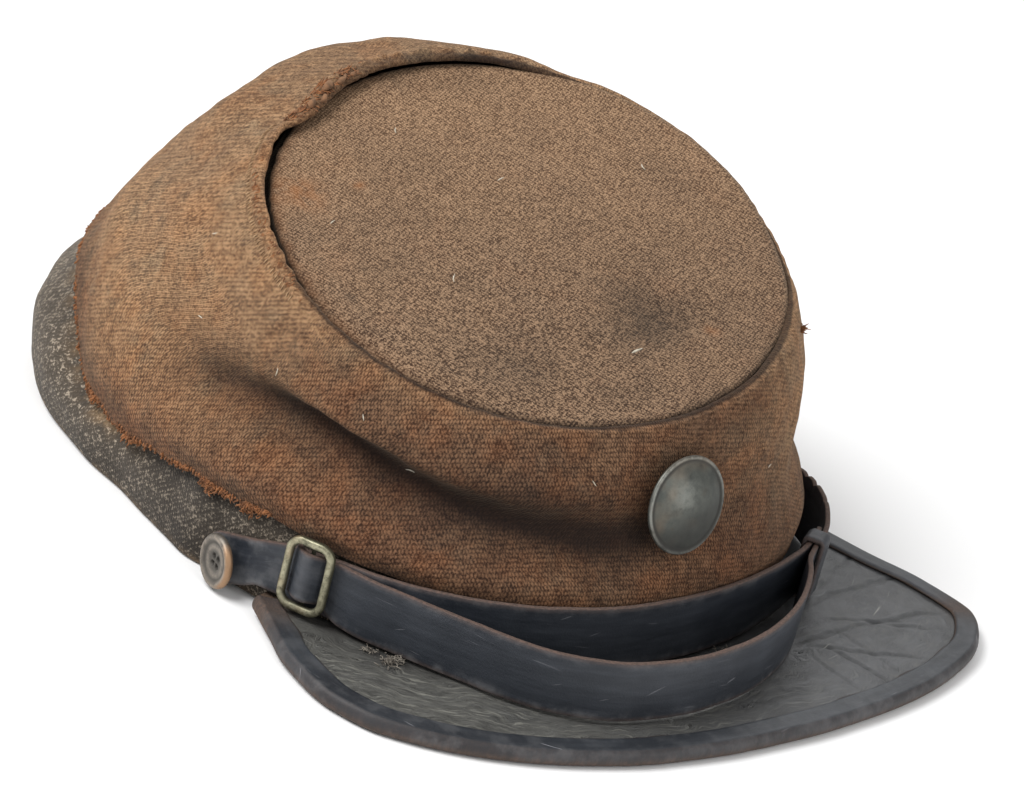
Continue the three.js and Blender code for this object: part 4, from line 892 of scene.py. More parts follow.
RR = np.concatenate([R, np.stack([t[0] for t in tail + under], 1)], 1)
HH = np.concatenate([H, np.stack([t[1] for t in tail + under], 1)], 1)
ang = np.radians(phi_t)[:, None]
loc = np.stack([RR * np.sin(ang), -RR * np.cos(ang), HH], -1)
TOPP = loc @ TOP_FRAME.T + np.array(TOP_AT)
nt_, mt_ = RR.shape
uvt = np.zeros((nt_ + 1, mt_, 2))
uvt[:-1] = loc[..., :2]
uvt[-1] = loc[0, :, :2]
xl, yl = loc[..., 0], loc[..., 1]
t_fade = np.clip(0.45 + 0.46 * smooth(0, 50, yl) + 0.25 * smooth(10, 45, xl) * smooth(-30, 0, yl) - 0.24 * smooth(6, -46, yl), 0, 1)
# painted shade: darker in the two dents pressed into the top and in a ring along its edge at the seam, most at the
# front; the fbm term is random dirt
t_grime_and_shade = 0.75 * bump(xl, 10, 13) * bump(yl, -36, 8) + 0.45 * bump(xl, 12, 7) * bump(yl, -24, 7) + 0.6 * bump(xl, -54.5, 1.6) * bump(yl, -1.6, 1.6)
t_grime_and_shade += 0.80 * bump(RR, edge_r[:, None], 1.3) * (0.35 + 0.65 * smooth(50, 20, wrap(phi_t))[:, None]) + 0.35 * np.clip(fbm(loc, 14, 2, 61), 0, 1) + 0.35 * bump(xl, -30, 14) * bump(yl, -34, 10)
t_rust = 0.9 * bump(xl, -45, 5) * bump(yl, 34, 5) + 0.9 * bump(xl, -29.5, 1.6) * bump(yl, 31.7, 1.4) + 0.8 * bump(xl, 23, 1.6) * bump(yl, -43.6, 1.6) + 0.35 * bump(RR, edge_r[:, None], 2.0) * smooth(-40, -100, wrap(phi_t))[:, None]
t_nap = np.clip(smooth(20, -40, xl) * smooth(20, -30, yl) + 0.7 * bump(xl, 10, 16) * bump(yl, -36, 12), 0, 1)
# painted shade: the turned-down edge and the underside of the top, seen through the open seam, are marked to be painted
# near black
t_gap_shade = np.concatenate([np.zeros((nt_, 62)), np.tile(np.array([0.5, 0.85, 1, 1, 1, 1, 1, 0.8, 0.8, 0.8, 0.8, 0.8])[None], (nt_, 1))], 1)
me = grid_mesh("top", TOPP, True, False, uvt, dict(fade=t_fade, grime_and_shade=np.clip(t_grime_and_shade, 0, 1), rust=np.clip(t_rust, 0, 1), gap=t_gap_shade, nap=t_nap), cap_j=(True, True), flip=True)
finish_piece(me, "crown_top_disc", M_TOP, ["crown_top"])

# ------------------------------------------------------------------ band
NB = 720
zb_n = 34
phi_b = -180 + 360 * np.arange(NB) / NB
hem_b = crown_at["hem"](phi_b) + np.maximum(0, wear_at["rise"](phi_b))
top_b = hem_b + 4.2
w = np.linspace(0, 1, zb_n)
Z = top_b[:, None] * w[None]
PB = np.broadcast_to(phi_b[:, None], Z.shape)
OFF = band_off(PB, Z)
BO = around(PB, OFF, Z)
nb = np.concatenate([outline_normal(PB), np.zeros(PB.shape + (1,))], -1)
lf = np.clip(smooth(-80, -105, PB) + smooth(95, 120, PB), 0, 1)
rb = (0.9 * fbm(BO, 20, 2, 71) + 0.35 * fbm(BO, 7, 2, 75)) * lf * smooth(0, 0.25, w)[None] + 0.15 * noise(BO, 4, 78) * smooth(0, 0.2, w)[None]
rb = rb * smooth(1.0, 0.72, w)[None] - 0.3 * smooth(0.72, 1, w)[None]
rb = rb + (-1.9 * bump(PB, -95, 5) - 1.1 * bump(PB, -106, 7) + 1.5 * bump(PB, -82, 3.6)) * smooth(1.0, 0.6, w)[None]
BO = BO + nb * rb[..., None]
BI = BO[:, ::3][:, ::-1] - nb[:, ::3][:, ::-1] * BAND_T
lo = []
for a_, b_ in ((0.35, -0.30), (1.0, -0.45), (1.65, -0.30)):
    q = BO[:, 0] - nb[:, 0] * a_
    q[:, 2] = 0.0
    lo.append(q)
BO[:, 0, 2] = 0.45
BI[:, -1, 2] = 0.45
SB = np.concatenate([BO, BI, np.stack(lo[::-1], 1)], 1)
ub = arclen(np.concatenate([BO[:, 12], BO[:1, 12]]))
mb = SB.shape[1]
uvb = np.zeros((NB + 1, mb + 1, 2))
uvb[:-1, :, 0] = ub[:-1, None]
uvb[-1, :, 0] = ub[-1]
vb = np.concatenate([Z, top_b[:, None] + 2 + Z[:, ::3], np.tile([[-1.5, -1.0, -0.5]], (NB, 1))], 1)
uvb[:-1, :-1, 1] = vb
uvb[:-1, -1, 1] = 0
uvb[-1, :, 1] = uvb[0, :, 1]


def bmask(m, inner=0.0):
    return np.concatenate([m, np.full((NB, BI.shape[1]), inner), np.repeat(m[:, :1], 3, 1)], 1)


b_fade = 0.32 + 0.45 * bump(PB, -150, 30) + 0.25 * bump(PB, -66, 8) + 0.3 * bump(w[None] + 0 * PB, 0.5, 0.3)
# painted shade: darker towards the band's top, under the crown's hem, and over the inside (0.6); the fbm term is random
# dirt, with two darker spots at -68 and -84 degrees
b_grime_and_shade = 0.55 * smooth(0.72, 1.0, Z / hem_b[:, None]) + 0.35 * np.clip(fbm(BO, 13, 2, 81), 0, 1) + 0.1 * bump(PB, -68, 6) + 0.50 * bump(PB, -84, 8)
b_tan = 1.0 * bump(PB, -101, 5) * bump(Z / hem_b[:, None], 0.86, 0.16) + 0.6 * bump(PB, -112, 6) * bump(Z / hem_b[:, None], 0.9, 0.12) + 0.5 * bump(Z, 0.0, 1.2) + 0.5 * bump(PB, -130, 12) * bump(Z / hem_b[:, None], 0.92, 0.12)
me = grid_mesh("band", SB, True, True, uvb, dict(fade=bmask(np.clip(b_fade, 0, 1)), grime_and_shade=bmask(np.clip(b_grime_and_shade, 0, 1), 0.6), tan=bmask(np.clip(b_tan, 0, 1))))
finish_piece(me, "band_tweed", M_BAND, ["band"])


# ------------------------------------------------------------------ peak
def peak_mid(phi, s):
    phi, s = np.broadcast_arrays(np.asarray(phi, float), np.asarray(s, float))
    root = around(phi, GAP + 0.1, 0)
    e = np.stack([peak_at["x"](phi), peak_at["y"](phi)], -1)
    z = PEAK_MID + peak_at["curl"](phi) * s * s + peak_at["rise"](phi) * np.sin(math.pi * s)
    return np.concatenate([root[..., :2] + (e - root[..., :2]) * s[..., None], z[..., None]], -1)


NP, MP = 460, 88
phi_p = np.linspace(-67, 67, NP)
s_p = np.linspace(0, 1, MP)
PM = peak_mid(phi_p[:, None], s_p[None])
cut, crease_shade = np.zeros((NP, MP)), np.zeros((NP, MP))
for x0, y0, x1, y1, deep, wide in zip(*[CREASES[k] for k in "x0 y0 x1 y1 deep wide".split()]):
    d = np.array([x1 - x0, y1 - y0], float)
    L = np.hypot(*d)
    d /= L
    q = PM[..., :2] - np.array([x0, y0])
    t = q @ d
    side = q @ np.array([-d[1], d[0]]) + 1.2 * noise(PM, 9, 91) + 0.5 * noise(PM, 3, 92)
    mask = smooth(-4, 4, t) * smooth(L + 4, L - 6, t)
    cut -= 0.65 * deep * mask * (bump(side, 0, wide * 0.6) - 0.45 * bump(side, wide * 1.1, wide * 0.7) - 0.25 * bump(side, -wide * 1.2, wide * 0.8))
    # painted shade: a thin dark line down the middle of each crease
    crease_shade += mask * bump(side, 0, 0.34) * min(0.8, deep * 1.5)
inset = smooth(0.0, 0.06, s_p)[None] * smooth(1.0, 0.90, s_p)[None]
rel = (cut + 0.16 * fbm(PM, 14, 2, 93) + 0.06 * noise(PM, 3, 96)) * inset * smooth(67, 60, np.abs(phi_p))[:, None]
UPP = PM + np.array([0, 0, 1.0]) * (PEAK_T / 2 + rel[..., None])
pk = np.linspace(MP - 1, 0, 24).round().astype(int)
LOW = PM[:, pk] - np.array([0, 0, PEAK_T / 2])
SPK = np.concatenate([UPP, LOW], 1)
up_ = arclen(PM[:, 40])
mpk = SPK.shape[1]
uvp = np.zeros((NP, mpk + 1, 2))
uvp[..., 0] = up_[:, None]
depth = np.linalg.norm(PM[:, -1, :2] - PM[:, 0, :2], axis=-1)
vp = s_p[None] * depth[:, None]
uvp[:, :MP, 1] = vp
uvp[:, MP:-1, 1] = vp[:, pk]
uvp[:, -1, 1] = 0


def pmask(m, under=0.0):
    return np.concatenate([m, np.full((NP, len(pk)), under)], 1)


PPH = phi_p[:, None] + 0 * s_p[None]
p_left = smooth(25, -35, PPH)
# painted shadow: dark along the peak's root against the band, over the front near it and under the strap on the
# wearer's right; the underside gets 0.3; the fbm term is random dirt
p_dirt_and_shadow = 0.85 * bump(s_p[None] * depth[:, None], 0.0, 5.0) + 0.38 * bump(vp, 9, 6) * bump(PPH, -32, 30) + 0.5 * bump(PPH, -40, 10) * bump(vp, 7, 6) + 0.35 * np.clip(fbm(PM, 11, 2, 97), 0, 1)
p_tip = 0.9 * smooth(-59, -66.5, PPH) + 0.4 * bump(PPH, 47, 4) * smooth(0.8, 1, s_p)[None]
me = grid_mesh("peak", SPK, False, True, uvp, dict(left=pmask(np.clip(p_left, 0, 1), 0.3), dirt_and_shadow=pmask(np.clip(p_dirt_and_shadow, 0, 1), 0.3), tip=pmask(np.clip(p_tip, 0, 1)), crease=pmask(np.clip(crease_shade, 0, 1))), cap_i=True)
finish_piece(me, "peak_board", M_PEAK, ["peak"])

# binding folded over the outer edge
NBD = 520
phi_e = np.linspace(-66.4, 66.4, NBD)
E = peak_mid(phi_e, 1.0)
dE = peak_mid(phi_e + 0.8, 1.0) - peak_mid(phi_e - 0.8, 1.0)
dE = unit(dE[:, :2])
nE = np.stack([dE[:, 1], -dE[:, 0]], -1)
root = peak_mid(phi_e, 0.0)
reach = np.maximum(4, np.sum(nE * (E[:, :2] - root[:, :2]), -1))
ins, outs = PEAK_T / 2 + GAP, PEAK_T / 2 + GAP + BIND_T
sec = []
for o in np.linspace(-BIND_W, 0, 14):
    k = smooth(-BIND_W, -BIND_W + 0.7, o)
    sec.append((o, outs - 0.45 * (1 - k), "t"))
for a_ in (20, 45, 70, 90, 110, 135, 160):
    c, s = math.cos(math.radians(90 - a_)), math.sin(math.radians(90 - a_))
    sec.append((0.0 + (GAP + BIND_T + 0.2) * c, outs * s, "e"))
for o in np.linspace(0, -BIND_W, 8):
    sec.append((o, -outs, "b"))
sec += [(-BIND_W, -ins, "i"), (GAP * 0.6, -ins, "i"), (GAP, 0.0, "i"), (GAP * 0.6, ins, "i"), (-BIND_W, ins, "i")]
BD, e_edge, e_rub, v_b = [], [], [], []
for o, z, kind in sec:
    base_z = np.where(o < 0, peak_mid(phi_e, np.maximum(0, 1 + min(o, 0) / reach))[:, 2], E[:, 2])
    wv = 0.0
    P = np.stack([E[:, 0] + nE[:, 0] * o, E[:, 1] + nE[:, 1] * o, base_z + z], -1)
    if kind in "te":
        wv = 0.16 * fbm(P, 9, 2, 101) + 0.06 * noise(P, 2.2, 104)
        P = P + np.stack([nE[:, 0] * (kind == "e"), nE[:, 1] * (kind == "e"), np.full(NBD, float(kind == "t"))], -1) * np.abs(wv)[:, None] * (1 if kind == "t" else 0.8)
    if kind == "t" and o <= -BIND_W + 0.01:
        P[:, :2] -= nE * (0.5 * noise(P, 6.0, 106))[:, None]
    BD.append(P)
    e_edge.append(np.full(NBD, {"t": 0.0, "e": 0.15, "b": 0.4, "i": 0.8}[kind]) + (0.55 if abs(o + BIND_W) < 0.01 and kind == "t" else 0) + 0.5 * (kind == "e") * smooth(0.2, -0.6, z / outs) + 0.55 * (kind in "te") * (bump(phi_e, 47, 3) + bump(phi_e, -65, 3)))
    e_rub.append(np.full(NBD, {"t": 0.30, "e": 0.50, "b": 0.3, "i": 0.0}[kind]) * (0.6 + 0.4 * bump(phi_e, -35, 18) + 0.3 * bump(phi_e, 20, 12)))
    v_b.append(o + 6)
BD = np.stack(BD, 1)
uvd = np.zeros((NBD, BD.shape[1] + 1, 2))
uvd[..., 0] = arclen(E)[:, None]
uvd[:, :-1, 1] = np.array(v_b)[None]
me = grid_mesh("binding", BD, False, True, uvd, dict(edge=np.clip(np.stack(e_edge, 1), 0, 1), rub_and_light=np.clip(np.stack(e_rub, 1), 0, 1)), cap_i=True)
finish_piece(me, "peak_edge_binding", M_BIND, ["peak_binding"])


# ------------------------------------------------------------------ straps
def strap(name, t, steps, node, seed, notch=None):
    at = table(t, "phi")
    k = np.linspace(0, len(t["phi"]) - 1, (len(t["phi"]) - 1) * steps + 1)
    i = np.minimum(len(t["phi"]) - 2, np.floor(k).astype(int))
    ph = np.array(t["phi"])[i] + (np.array(t["phi"])[i + 1] - np.array(t["phi"])[i]) * (k - i)
    P = around(ph, at["off"](ph), 0 * ph)
    g = unit(np.gradient(P[:, :2], axis=0))
    n = np.stack([g[:, 1], -g[:, 0], 0 * ph], -1)
    z0, z1 = at["z0"](ph), at["z1"](ph)
    s = arclen(P)
    if notch is not None:
        for a_, dz in notch:
            z1 = z1 - dz * bump(ph, a_, 0.45)
    wob = 0.10 * noise(np.stack([s / 7, 0 * s, 0 * s], -1), 1.0, seed) + 0.05 * noise(np.stack([s / 1.6, 0 * s, 0 * s], -1), 1.0, seed + 1)
    z1 = z1 + wob
    r = 0.28
    F = np.linspace(0, 1, 16)
    sec, ed, rb_, vl = [], [], [], []
    face = 0.05 * fbm(np.stack([s[:, None] / 9 + 0 * F[None], (F[None] * 15 + 0 * s[:, None]) / 9, 0 * s[:, None] + 0 * F[None]], -1), 1.0, 2, seed + 5)

    def add(o, z, e, rbv, v):
        q = P + n * np.asarray(o).reshape(-1, 1)
        q = q.copy()
        q[:, 2] = z
        sec.append(q)
        ed.append(np.full(len(s), e))
        # painted light: lighter towards the buckle on the wearer's right, the side the key lamp lights, on top of the
        # rubbed edges
        rb_.append(np.clip(rbv + 0.55 * smooth(-44, -80, ph), 0, 1))
        vl.append(v)

    for m, f in enumerate(F):                              # outer face, up
        z = z0 + r + (z1 - z0 - 2 * r) * f
        nearest = min(f, 1 - f) * 15
        add(STRAP_T + face[:, m], z, 0.45 * (1 - float(smooth(0.0, 0.55, nearest))), 0.9 * float(bump(f, 0.0, 0.10)) + 0.5 * float(bump(f, 1.0, 0.08)), f * 15)
    add(STRAP_T - r * 0.3, z1 - r * 0.3, 0.9, 0.2, 15.3)
    add(STRAP_T - r, z1 + 0 * s, 1.0, 0.0, 15.6)
    add(r, z1 + 0 * s, 1.0, 0.0, 16.2)
    add(r * 0.3, z1 - r * 0.3, 1.0, 0.0, 16.5)
    for f in (1.0, 0.75, 0.5, 0.25, 0.0):                  # inner face, down
        add(0.0, z0 + r + (z1 - z0 - 2 * r) * f, 0.10, 0.0, 17 + (1 - f) * 15)
    add(r * 0.3, z0 + r * 0.3, 0.8, 0.0, 32.5)
    add(r, z0 + 0 * s, 0.8, 0.0, 33)
    add(STRAP_T - r, z0 + 0 * s, 0.8, 0.3, 33.6)
    add(STRAP_T - r * 0.3, z0 + r * 0.3, 0.6, 0.6, 34)
    Q = np.stack(sec, 1)
    uv = np.zeros((len(s), Q.shape[1] + 1, 2))
    uv[..., 0] = s[:, None] + 137 * seed
    uv[:, :-1, 1] = np.array(vl)[None]
    uv[:, -1, 1] = 34.4
    return finish_piece(grid_mesh(name, Q, False, True, uv, dict(edge=np.stack(ed, 1), rub_and_light=np.stack(rb_, 1)), cap_i=True), name, M_STRAP, [node])


strap("strap_right_leather", STRAP_RIGHT, 26, "strap_right", 3)
strap("strap_left_leather", STRAP_LEFT, 16, "strap_left", 7, notch=[(57.5, 0.9), (60.5, 0.7), (63.5, 0.8), (52.0, 0.4)])


def basis(phi, off, z, tilt=0.0, turn=0.0):
    p = around(phi, off, z)
    n2 = outline_normal(phi)
    out = np.array([n2[0], n2[1], 0.0])
    al = np.array([-n2[1], n2[0], 0.0])
    up = np.cross(out, al)
    B = np.stack([al, up, out], 1)
    t, u = math.radians(tilt), math.radians(turn)
    Rz = np.array([[math.cos(t), -math.sin(t), 0], [math.sin(t), math.cos(t), 0], [0, 0, 1]])
    Ry = np.array([[math.cos(u), 0, math.sin(u)], [0, 1, 0], [-math.sin(u), 0, math.cos(u)]])
    return B @ Rz @ Ry, p


def round_rect(w_, h_, r, n=18, straight=10):
    """closed path, counter-clockwise, with its outward normals"""
    P, Nn = [], []
    for cx, cy, a0 in ((w_ / 2 - r, -h_ / 2 + r, -90), (w_ / 2 - r, h_ / 2 - r, 0), (-w_ / 2 + r, h_ / 2 - r, 90), (-w_ / 2 + r, -h_ / 2 + r, 180)):
        for k in range(n + 1):
            a = math.radians(a0 + 90 * k / n)
            P.append((cx + r * math.cos(a), cy + r * math.sin(a)))
            Nn.append((math.cos(a), math.sin(a)))
        nx = {-90: (w_ / 2, h_ / 2 - r), 0: (-w_ / 2 + r, h_ / 2), 90: (-w_ / 2, -h_ / 2 + r), 180: (w_ / 2 - r, -h_ / 2)}[a0]
        p0 = P[-1]
        for k in range(1, straight):
            P.append((p0[0] + (nx[0] - p0[0]) * k / straight, p0[1] + (nx[1] - p0[1]) * k / straight))
            Nn.append(Nn[-1])
    return np.array(P), np.array(Nn)


def merge(parts):
    V, F, n, A = [], [], 0, {}
    for v, f, at in parts:
        V.append(v.reshape(-1, 3))
        F += [[n + i for i in q] for q in f]
        for k, a in at.items():
            A.setdefault(k, []).append(np.asarray(a).reshape(-1))
        n += len(V[-1])
    return np.concatenate(V), F, {k: np.concatenate(a) for k, a in A.items()}


def ring_faces(n, m, flip=False):
    F = []
    for i in range(n):
        for j in range(m):
            q = [i * m + j, ((i + 1) % n) * m + j, ((i + 1) % n) * m + (j + 1) % m, i * m + (j + 1) % m]
            F.append(q[::-1] if flip else q)
    return F


# buckle: rounded bar bent into a frame, with its centre bar behind the strap
b = BUCKLE
path, pn = round_rect(b["wide"] - b["bar"], b["tall"] - b["bar"], b["corner"] - b["bar"] / 2, 16, 14)
NSEC = 20
th = np.arange(NSEC) * TAU / NSEC
sx = np.sign(np.cos(th)) * np.abs(np.cos(th)) ** 0.75 * b["bar"] / 2
sz = np.sign(np.sin(th)) * np.abs(np.sin(th)) ** 0.75 * b["deep"] / 2 + b["deep"] / 2
loc = np.concatenate([path[:, None] + pn[:, None] * sx[None, :, None], np.broadcast_to(sz[None, :, None], (len(path), NSEC, 1))], -1)
ir = 0.07 * fbm(loc, 5, 2, 111) + 0.04 * noise(loc, 1.5, 114)
loc = loc + np.concatenate([pn[:, None] * np.cos(th)[None, :, None], np.broadcast_to(np.sin(th)[None, :, None], (len(path), NSEC, 1))], -1) * ir[..., None]
rim = np.clip(np.broadcast_to(np.sin(th)[None], ir.shape), 0, 1) ** 2
deep = np.clip(-np.broadcast_to(np.cos(th)[None], ir.shape), 0, 1) ** 2 * 0.5 + 0.5 * np.clip(-np.broadcast_to(np.sin(th)[None], ir.shape), 0, 1)
warm = 0.6 * np.clip(fbm(loc, 4, 2, 117), 0, 1)
yy = np.linspace(-b["tall"] / 2 + 1.2, b["tall"] / 2 - 1.2, 24)
rr = 0.55
bar = np.stack([rr * np.cos(th)[None] + 0 * yy[:, None], yy[:, None] + 0 * th[None], -0.55 + rr * np.sin(th)[None] + 0 * yy[:, None]], -1)
bf = [[i * NSEC + j, i * NSEC + (j + 1) % NSEC, (i + 1) * NSEC + (j + 1) % NSEC, (i + 1) * NSEC + j] for i in range(23) for j in range(NSEC)]
bf = [q[::-1] for q in bf] + [list(range(NSEC)), list(range(23 * NSEC, 24 * NSEC))[::-1]]
V, F, A = merge([(loc, ring_faces(len(path), NSEC), dict(rim=rim, deep=deep, warm=warm)), (bar, bf, dict(rim=np.zeros(bar.shape[:2]), deep=np.full(bar.shape[:2], 0.7), warm=np.zeros(bar.shape[:2])))])
B_, p_ = basis(b["phi"], b["off"], b["z"], tilt=b["lean"])
me = raw_mesh("buckle", V @ B_.T + p_, F, A)
finish_piece(me, "slide_buckle", M_BUCKLE, ["buckle"])

# keeper: a leather loop round both straps
k = KEEPER
sr = table(STRAP_RIGHT, "phi")["off"]
kf, kt = around(k["phi"] - 3, sr(k["phi"] - 3), k["z"]), around(k["phi"] + 3, sr(k["phi"] + 3), k["z"])
kd = unit(np.array([kt[0] - kf[0], kt[1] - kf[1], 0.0]))
ko = np.array([kd[1], -kd[0], 0.0])
km = around(k["phi"], sr(k["phi"]), k["z"])
kp = np.array([km[0] + ko[0] * (k["deep"] / 2 - k["wall"] - 0.35), km[1] + ko[1] * (k["deep"] / 2 - k["wall"] - 0.35), k["z"]])
path, pn = round_rect(k["deep"] - k["wall"], k["tall"] - k["wall"], 1.1, 8, 10)
NK = 24
ks = np.linspace(-k["wide"] / 2, k["wide"] / 2, 9)
secp = [(x_, k["wall"] / 2 - (0.18 if abs(x_) > 3.0 else 0)) for x_ in ks] + [(x_, -k["wall"] / 2) for x_ in ks[::-1]]
secp = np.array(secp)
q = path[:, None] + pn[:, None] * secp[None, :, 1:2]
lk = np.concatenate([np.broadcast_to(secp[None, :, :1], (len(path), len(secp), 1)), q], -1)    # along, out, up
lk[..., 1:] += pn[:, None] * (0.10 * noise(lk, 3.0, 121))[..., None]
W = lk[..., :1] * kd + lk[..., 1:2] * ko + lk[..., 2:3] * np.array([0, 0, 1.0]) + kp
edgek = np.where(np.abs(secp[:, 0]) > 3.0, 0.55, 0.05)[None] + 0 * lk[..., 0]
vk, fkf, ak = merge([(W, ring_faces(len(path), len(secp)), dict(edge=edgek, rub_and_light=np.full(edgek.shape, 0.5)))])
me = raw_mesh("keeper", vk, fkf, ak)
cu = np.zeros((len(me.loops), 2))
vi = np.zeros(len(me.loops), dtype=np.int32)
me.loops.foreach_get("vertex_index", vi)
lkf = lk.reshape(-1, 3)
cu[:, 0] = lkf[vi, 0]
cu[:, 1] = lkf[vi, 1] + lkf[vi, 2]
uvl = me.uv_layers.new(name="UVMap")
uvl.data.foreach_set("uv", cu.astype(np.float32).ravel())
finish_piece(me, "strap_keeper", M_STRAP, ["keeper"])


# ------------------------------------------------------------------ buttons
def lathe(profile, sides, fn=None):
    r = np.array([p[0] for p in profile], float)
    z = np.array([p[1] for p in profile], float)
    a = np.arange(sides) * TAU / sides
    L = np.stack([r[None] * np.cos(a)[:, None], r[None] * np.sin(a)[:, None], z[None] + 0 * a[:, None]], -1)
    if fn is not None:
        L = fn(L)
    return L


def fine_profile(pts, step=0.35):
    pts = np.array(pts, float)
    out = [pts[0]]
    for p, q in zip(pts[:-1], pts[1:]):
        n = max(1, int(np.hypot(*(q - p)) / step))
        for i in range(1, n + 1):
            out.append(p + (q - p) * i / n)
    out = np.array(out)
    for _ in range(2):
        out[1:-1] = 0.25 * out[:-2] + 0.5 * out[1:-1] + 0.25 * out[2:]
    return out


def button(name, profile, sides, B, p, mat, node, fn, masks):
    prof = fine_profile(profile)
    prof[0, 0] = prof[-1, 0] = 0.02
    L = lathe(prof, sides, fn)
    at = masks(L, prof)
    me = grid_mesh(name, L @ B.T + p, True, False, None, at, cap_j=(True, True))
    return finish_piece(me, name, mat, [node])


R1 = FRONT_BUTTON_R
zb = unit(unit(BUTTON_N) * 0.40 + np.array([0.035, -0.94, 0.34]) * 0.60)
xb = unit(np.cross(np.array([0, 0, 1.0]), zb))
yb = np.cross(zb, xb)
BB = np.stack([xb, yb, zb], 1)


def dome(L):
    d = 0.10 * fbm(L, 9, 2, 131) + 0.05 * noise(L, 2.0, 134)
    L = L.copy()
    L[..., 2] += d * smooth(0.3, 1.2, L[..., 2])
    L[..., 2] -= 0.28 * bump(L[..., 0], -2.5, 3.0) * bump(L[..., 1], -3.5, 2.2) * smooth(1.0, 2.0, L[..., 2])
    return L


def dome_wear_and_painted_light(L, prof):
    rr_ = np.hypot(L[..., 0], L[..., 1])
    # painted highlight: rim adds a bright spot at the dome's upper left; painted shade: deep darkens its lower right.
    # The rest of rim is the polished edge, the rest of deep the groove and the back
    return dict(rim=np.clip(bump(rr_, R1 - 0.45, 0.35) * smooth(0.5, 1.5, L[..., 2]) + 0.30 * bump(np.hypot(L[..., 0] + 2.5, L[..., 1] - 2.5), 0, 4), 0, 1),
                deep=np.clip(1.0 * bump(rr_, R1 - 1.25, 0.38) * smooth(0.8, 1.2, L[..., 2]) + smooth(1.0, 0.3, L[..., 2]) * 0.7 + 0.62 * smooth(1.5, -6.5, L[..., 1] - 0.35 * L[..., 0]), 0, 1),
                warm=0.25 * np.clip(fbm(L, 5, 2, 137), 0, 1))


button("front_button_dome", [(0, -1.9), (1.8, -1.9), (1.8, 0), (R1 - 1.6, 0), (R1 - 0.2, 0.5), (R1 + 0.15, 1.1), (R1 - 0.2, 1.75), (R1 - 0.75, 1.85), (R1 - 1.15, 1.35),
                             (R1 - 1.9, 1.72), (8.4, 2.35), (6.4, 2.95), (3.4, 3.45), (0, 3.65)], 128, BB, BUTTON_P + BUTTON_N * (FRONT_BUTTON["stand"] + 0.5) + np.array([-1.0, 0.3, 0.65]),
       M_PEWTER, "front_button", dome, dome_wear_and_painted_light)

R2 = SIDE_BUTTON_R


def four_holes(L):
    L = L.copy()
    front = smooth(0.9, 1.1, L[..., 2])
    for i in range(4):
        a = math.radians(45 + 90 * i)
        d = np.hypot(L[..., 0] - 1.35 * math.cos(a), L[..., 1] - 1.35 * math.sin(a))
        L[..., 2] -= 1.1 * smooth(0.75, 0.45, d) * front
    L[..., 2] += 0.06 * fbm(L, 4, 2, 141) * front
    return L


def side_masks(L, prof):
    rr_ = np.hypot(L[..., 0], L[..., 1])
    hole = np.zeros(rr_.shape)
    for i in range(4):
        a = math.radians(45 + 90 * i)
        hole += smooth(0.85, 0.5, np.hypot(L[..., 0] - 1.35 * math.cos(a), L[..., 1] - 1.35 * math.sin(a)))
    return dict(rim=np.clip(0.8 * bump(rr_, R2 - 1.0, 0.6) + 0.5 * bump(rr_, 3.4, 0.5), 0, 1), deep=np.clip(hole + 0.7 * bump(rr_, R2 - 2.2, 0.45) + 0.55 * smooth(2.9, 2.2, rr_) + smooth(0.8, 0.2, L[..., 2]), 0, 1),
                warm=np.clip(smooth(R2 - 1.4, R2 - 0.4, rr_) * smooth(1.5, 5, L[..., 0]), 0, 1))


for name, sign, node in (("side_button_right_disc", -1, "side_button_right"), ("side_button_left_disc", 1, "side_button_left")):
    B_, p_ = basis(sign * SIDE_BUTTON["phi"], SIDE_BUTTON["off"], SIDE_BUTTON["z"], turn=sign * SIDE_BUTTON["turn"])
    button(name, [(0, 0), (R2 - 0.9, 0), (R2, 0.7), (R2 - 0.15, 1.7), (R2 - 0.7, 2.3), (R2 - 1.5, 2.3), (R2 - 2.2, 1.55), (3.9, 1.6), (3.4, 1.85), (2.9, 1.6), (2.2, 1.5), (0, 1.4)], 96,
           B_, p_, M_SIDE, node, four_holes, side_masks)

# ------------------------------------------------------------------ threads
rng = np.random.default_rng(5)


def crown_point(phi, t, lift=0.0):
    i = int(round((wrap(phi) + 180) / 360 * N)) % N
    j = int(np.clip(round(t / 5 * (len(T) - 1)), 0, len(T) - 1))
    return OUT[i, j] + NORM[i, j] * lift, NORM[i, j], unit(OUT[i, min(j + 2, len(T) - 1)] - OUT[i, max(j - 2, 0)]), unit(OUT[(i + 2) % N, j] - OUT[i - 2, j])


# frayed hem: loose ends hanging from the raw edge
lines, radii = [], []
TUFTS = rows("phi spread count long", (-134, 3, 26, 1.3), (-122, 4, 20, 1.1), (-104.5, 1.6, 70, 2.4), (-93.5, 1.8, 70, 2.2), (-86, 2.0, 30, 1.7), (-80.5, 1.3, 96, 2.8),
             (-77, 1.2, 40, 1.8), (-72.5, 1.5, 110, 2.8), (-70, 1.0, 30, 1.6), (-110, 16, 120, 0.9), (-88, 13, 130, 1.0), (-150, 10, 60, 0.9), (160, 30, 60, 0.9), (110, 25, 50, 0.8))
for phi0, spread, count, long_ in zip(*[TUFTS[q] for q in "phi spread count long".split()]):
    for _ in range(int(count)):
        ph = phi0 + rng.normal() * spread * 0.55
        p, n, up, rd = crown_point(ph, rng.uniform(0, 0.10), 0.0)
        L = long_ * rng.uniform(0.35, 1.15)
        q = p - n * 0.5 + up * 0.7
        pts = [q, p + n * rng.uniform(-0.3, 0.25)]
        for _k in range(5):
            d = -up * 0.55 + n * 0.12 + rng.normal(size=3) * 0.75
            pts.append(pts[-1] + unit(d) * L / 4.0)
        lines.append(np.array(pts))
        radii.append(np.array([0.22, 0.26, 0.26, 0.24, 0.22, 0.18, 0.10]) * rng.uniform(0.75, 1.25))
v_, f_ = tubes(lines, radii)
me = raw_mesh("fray", v_, f_)
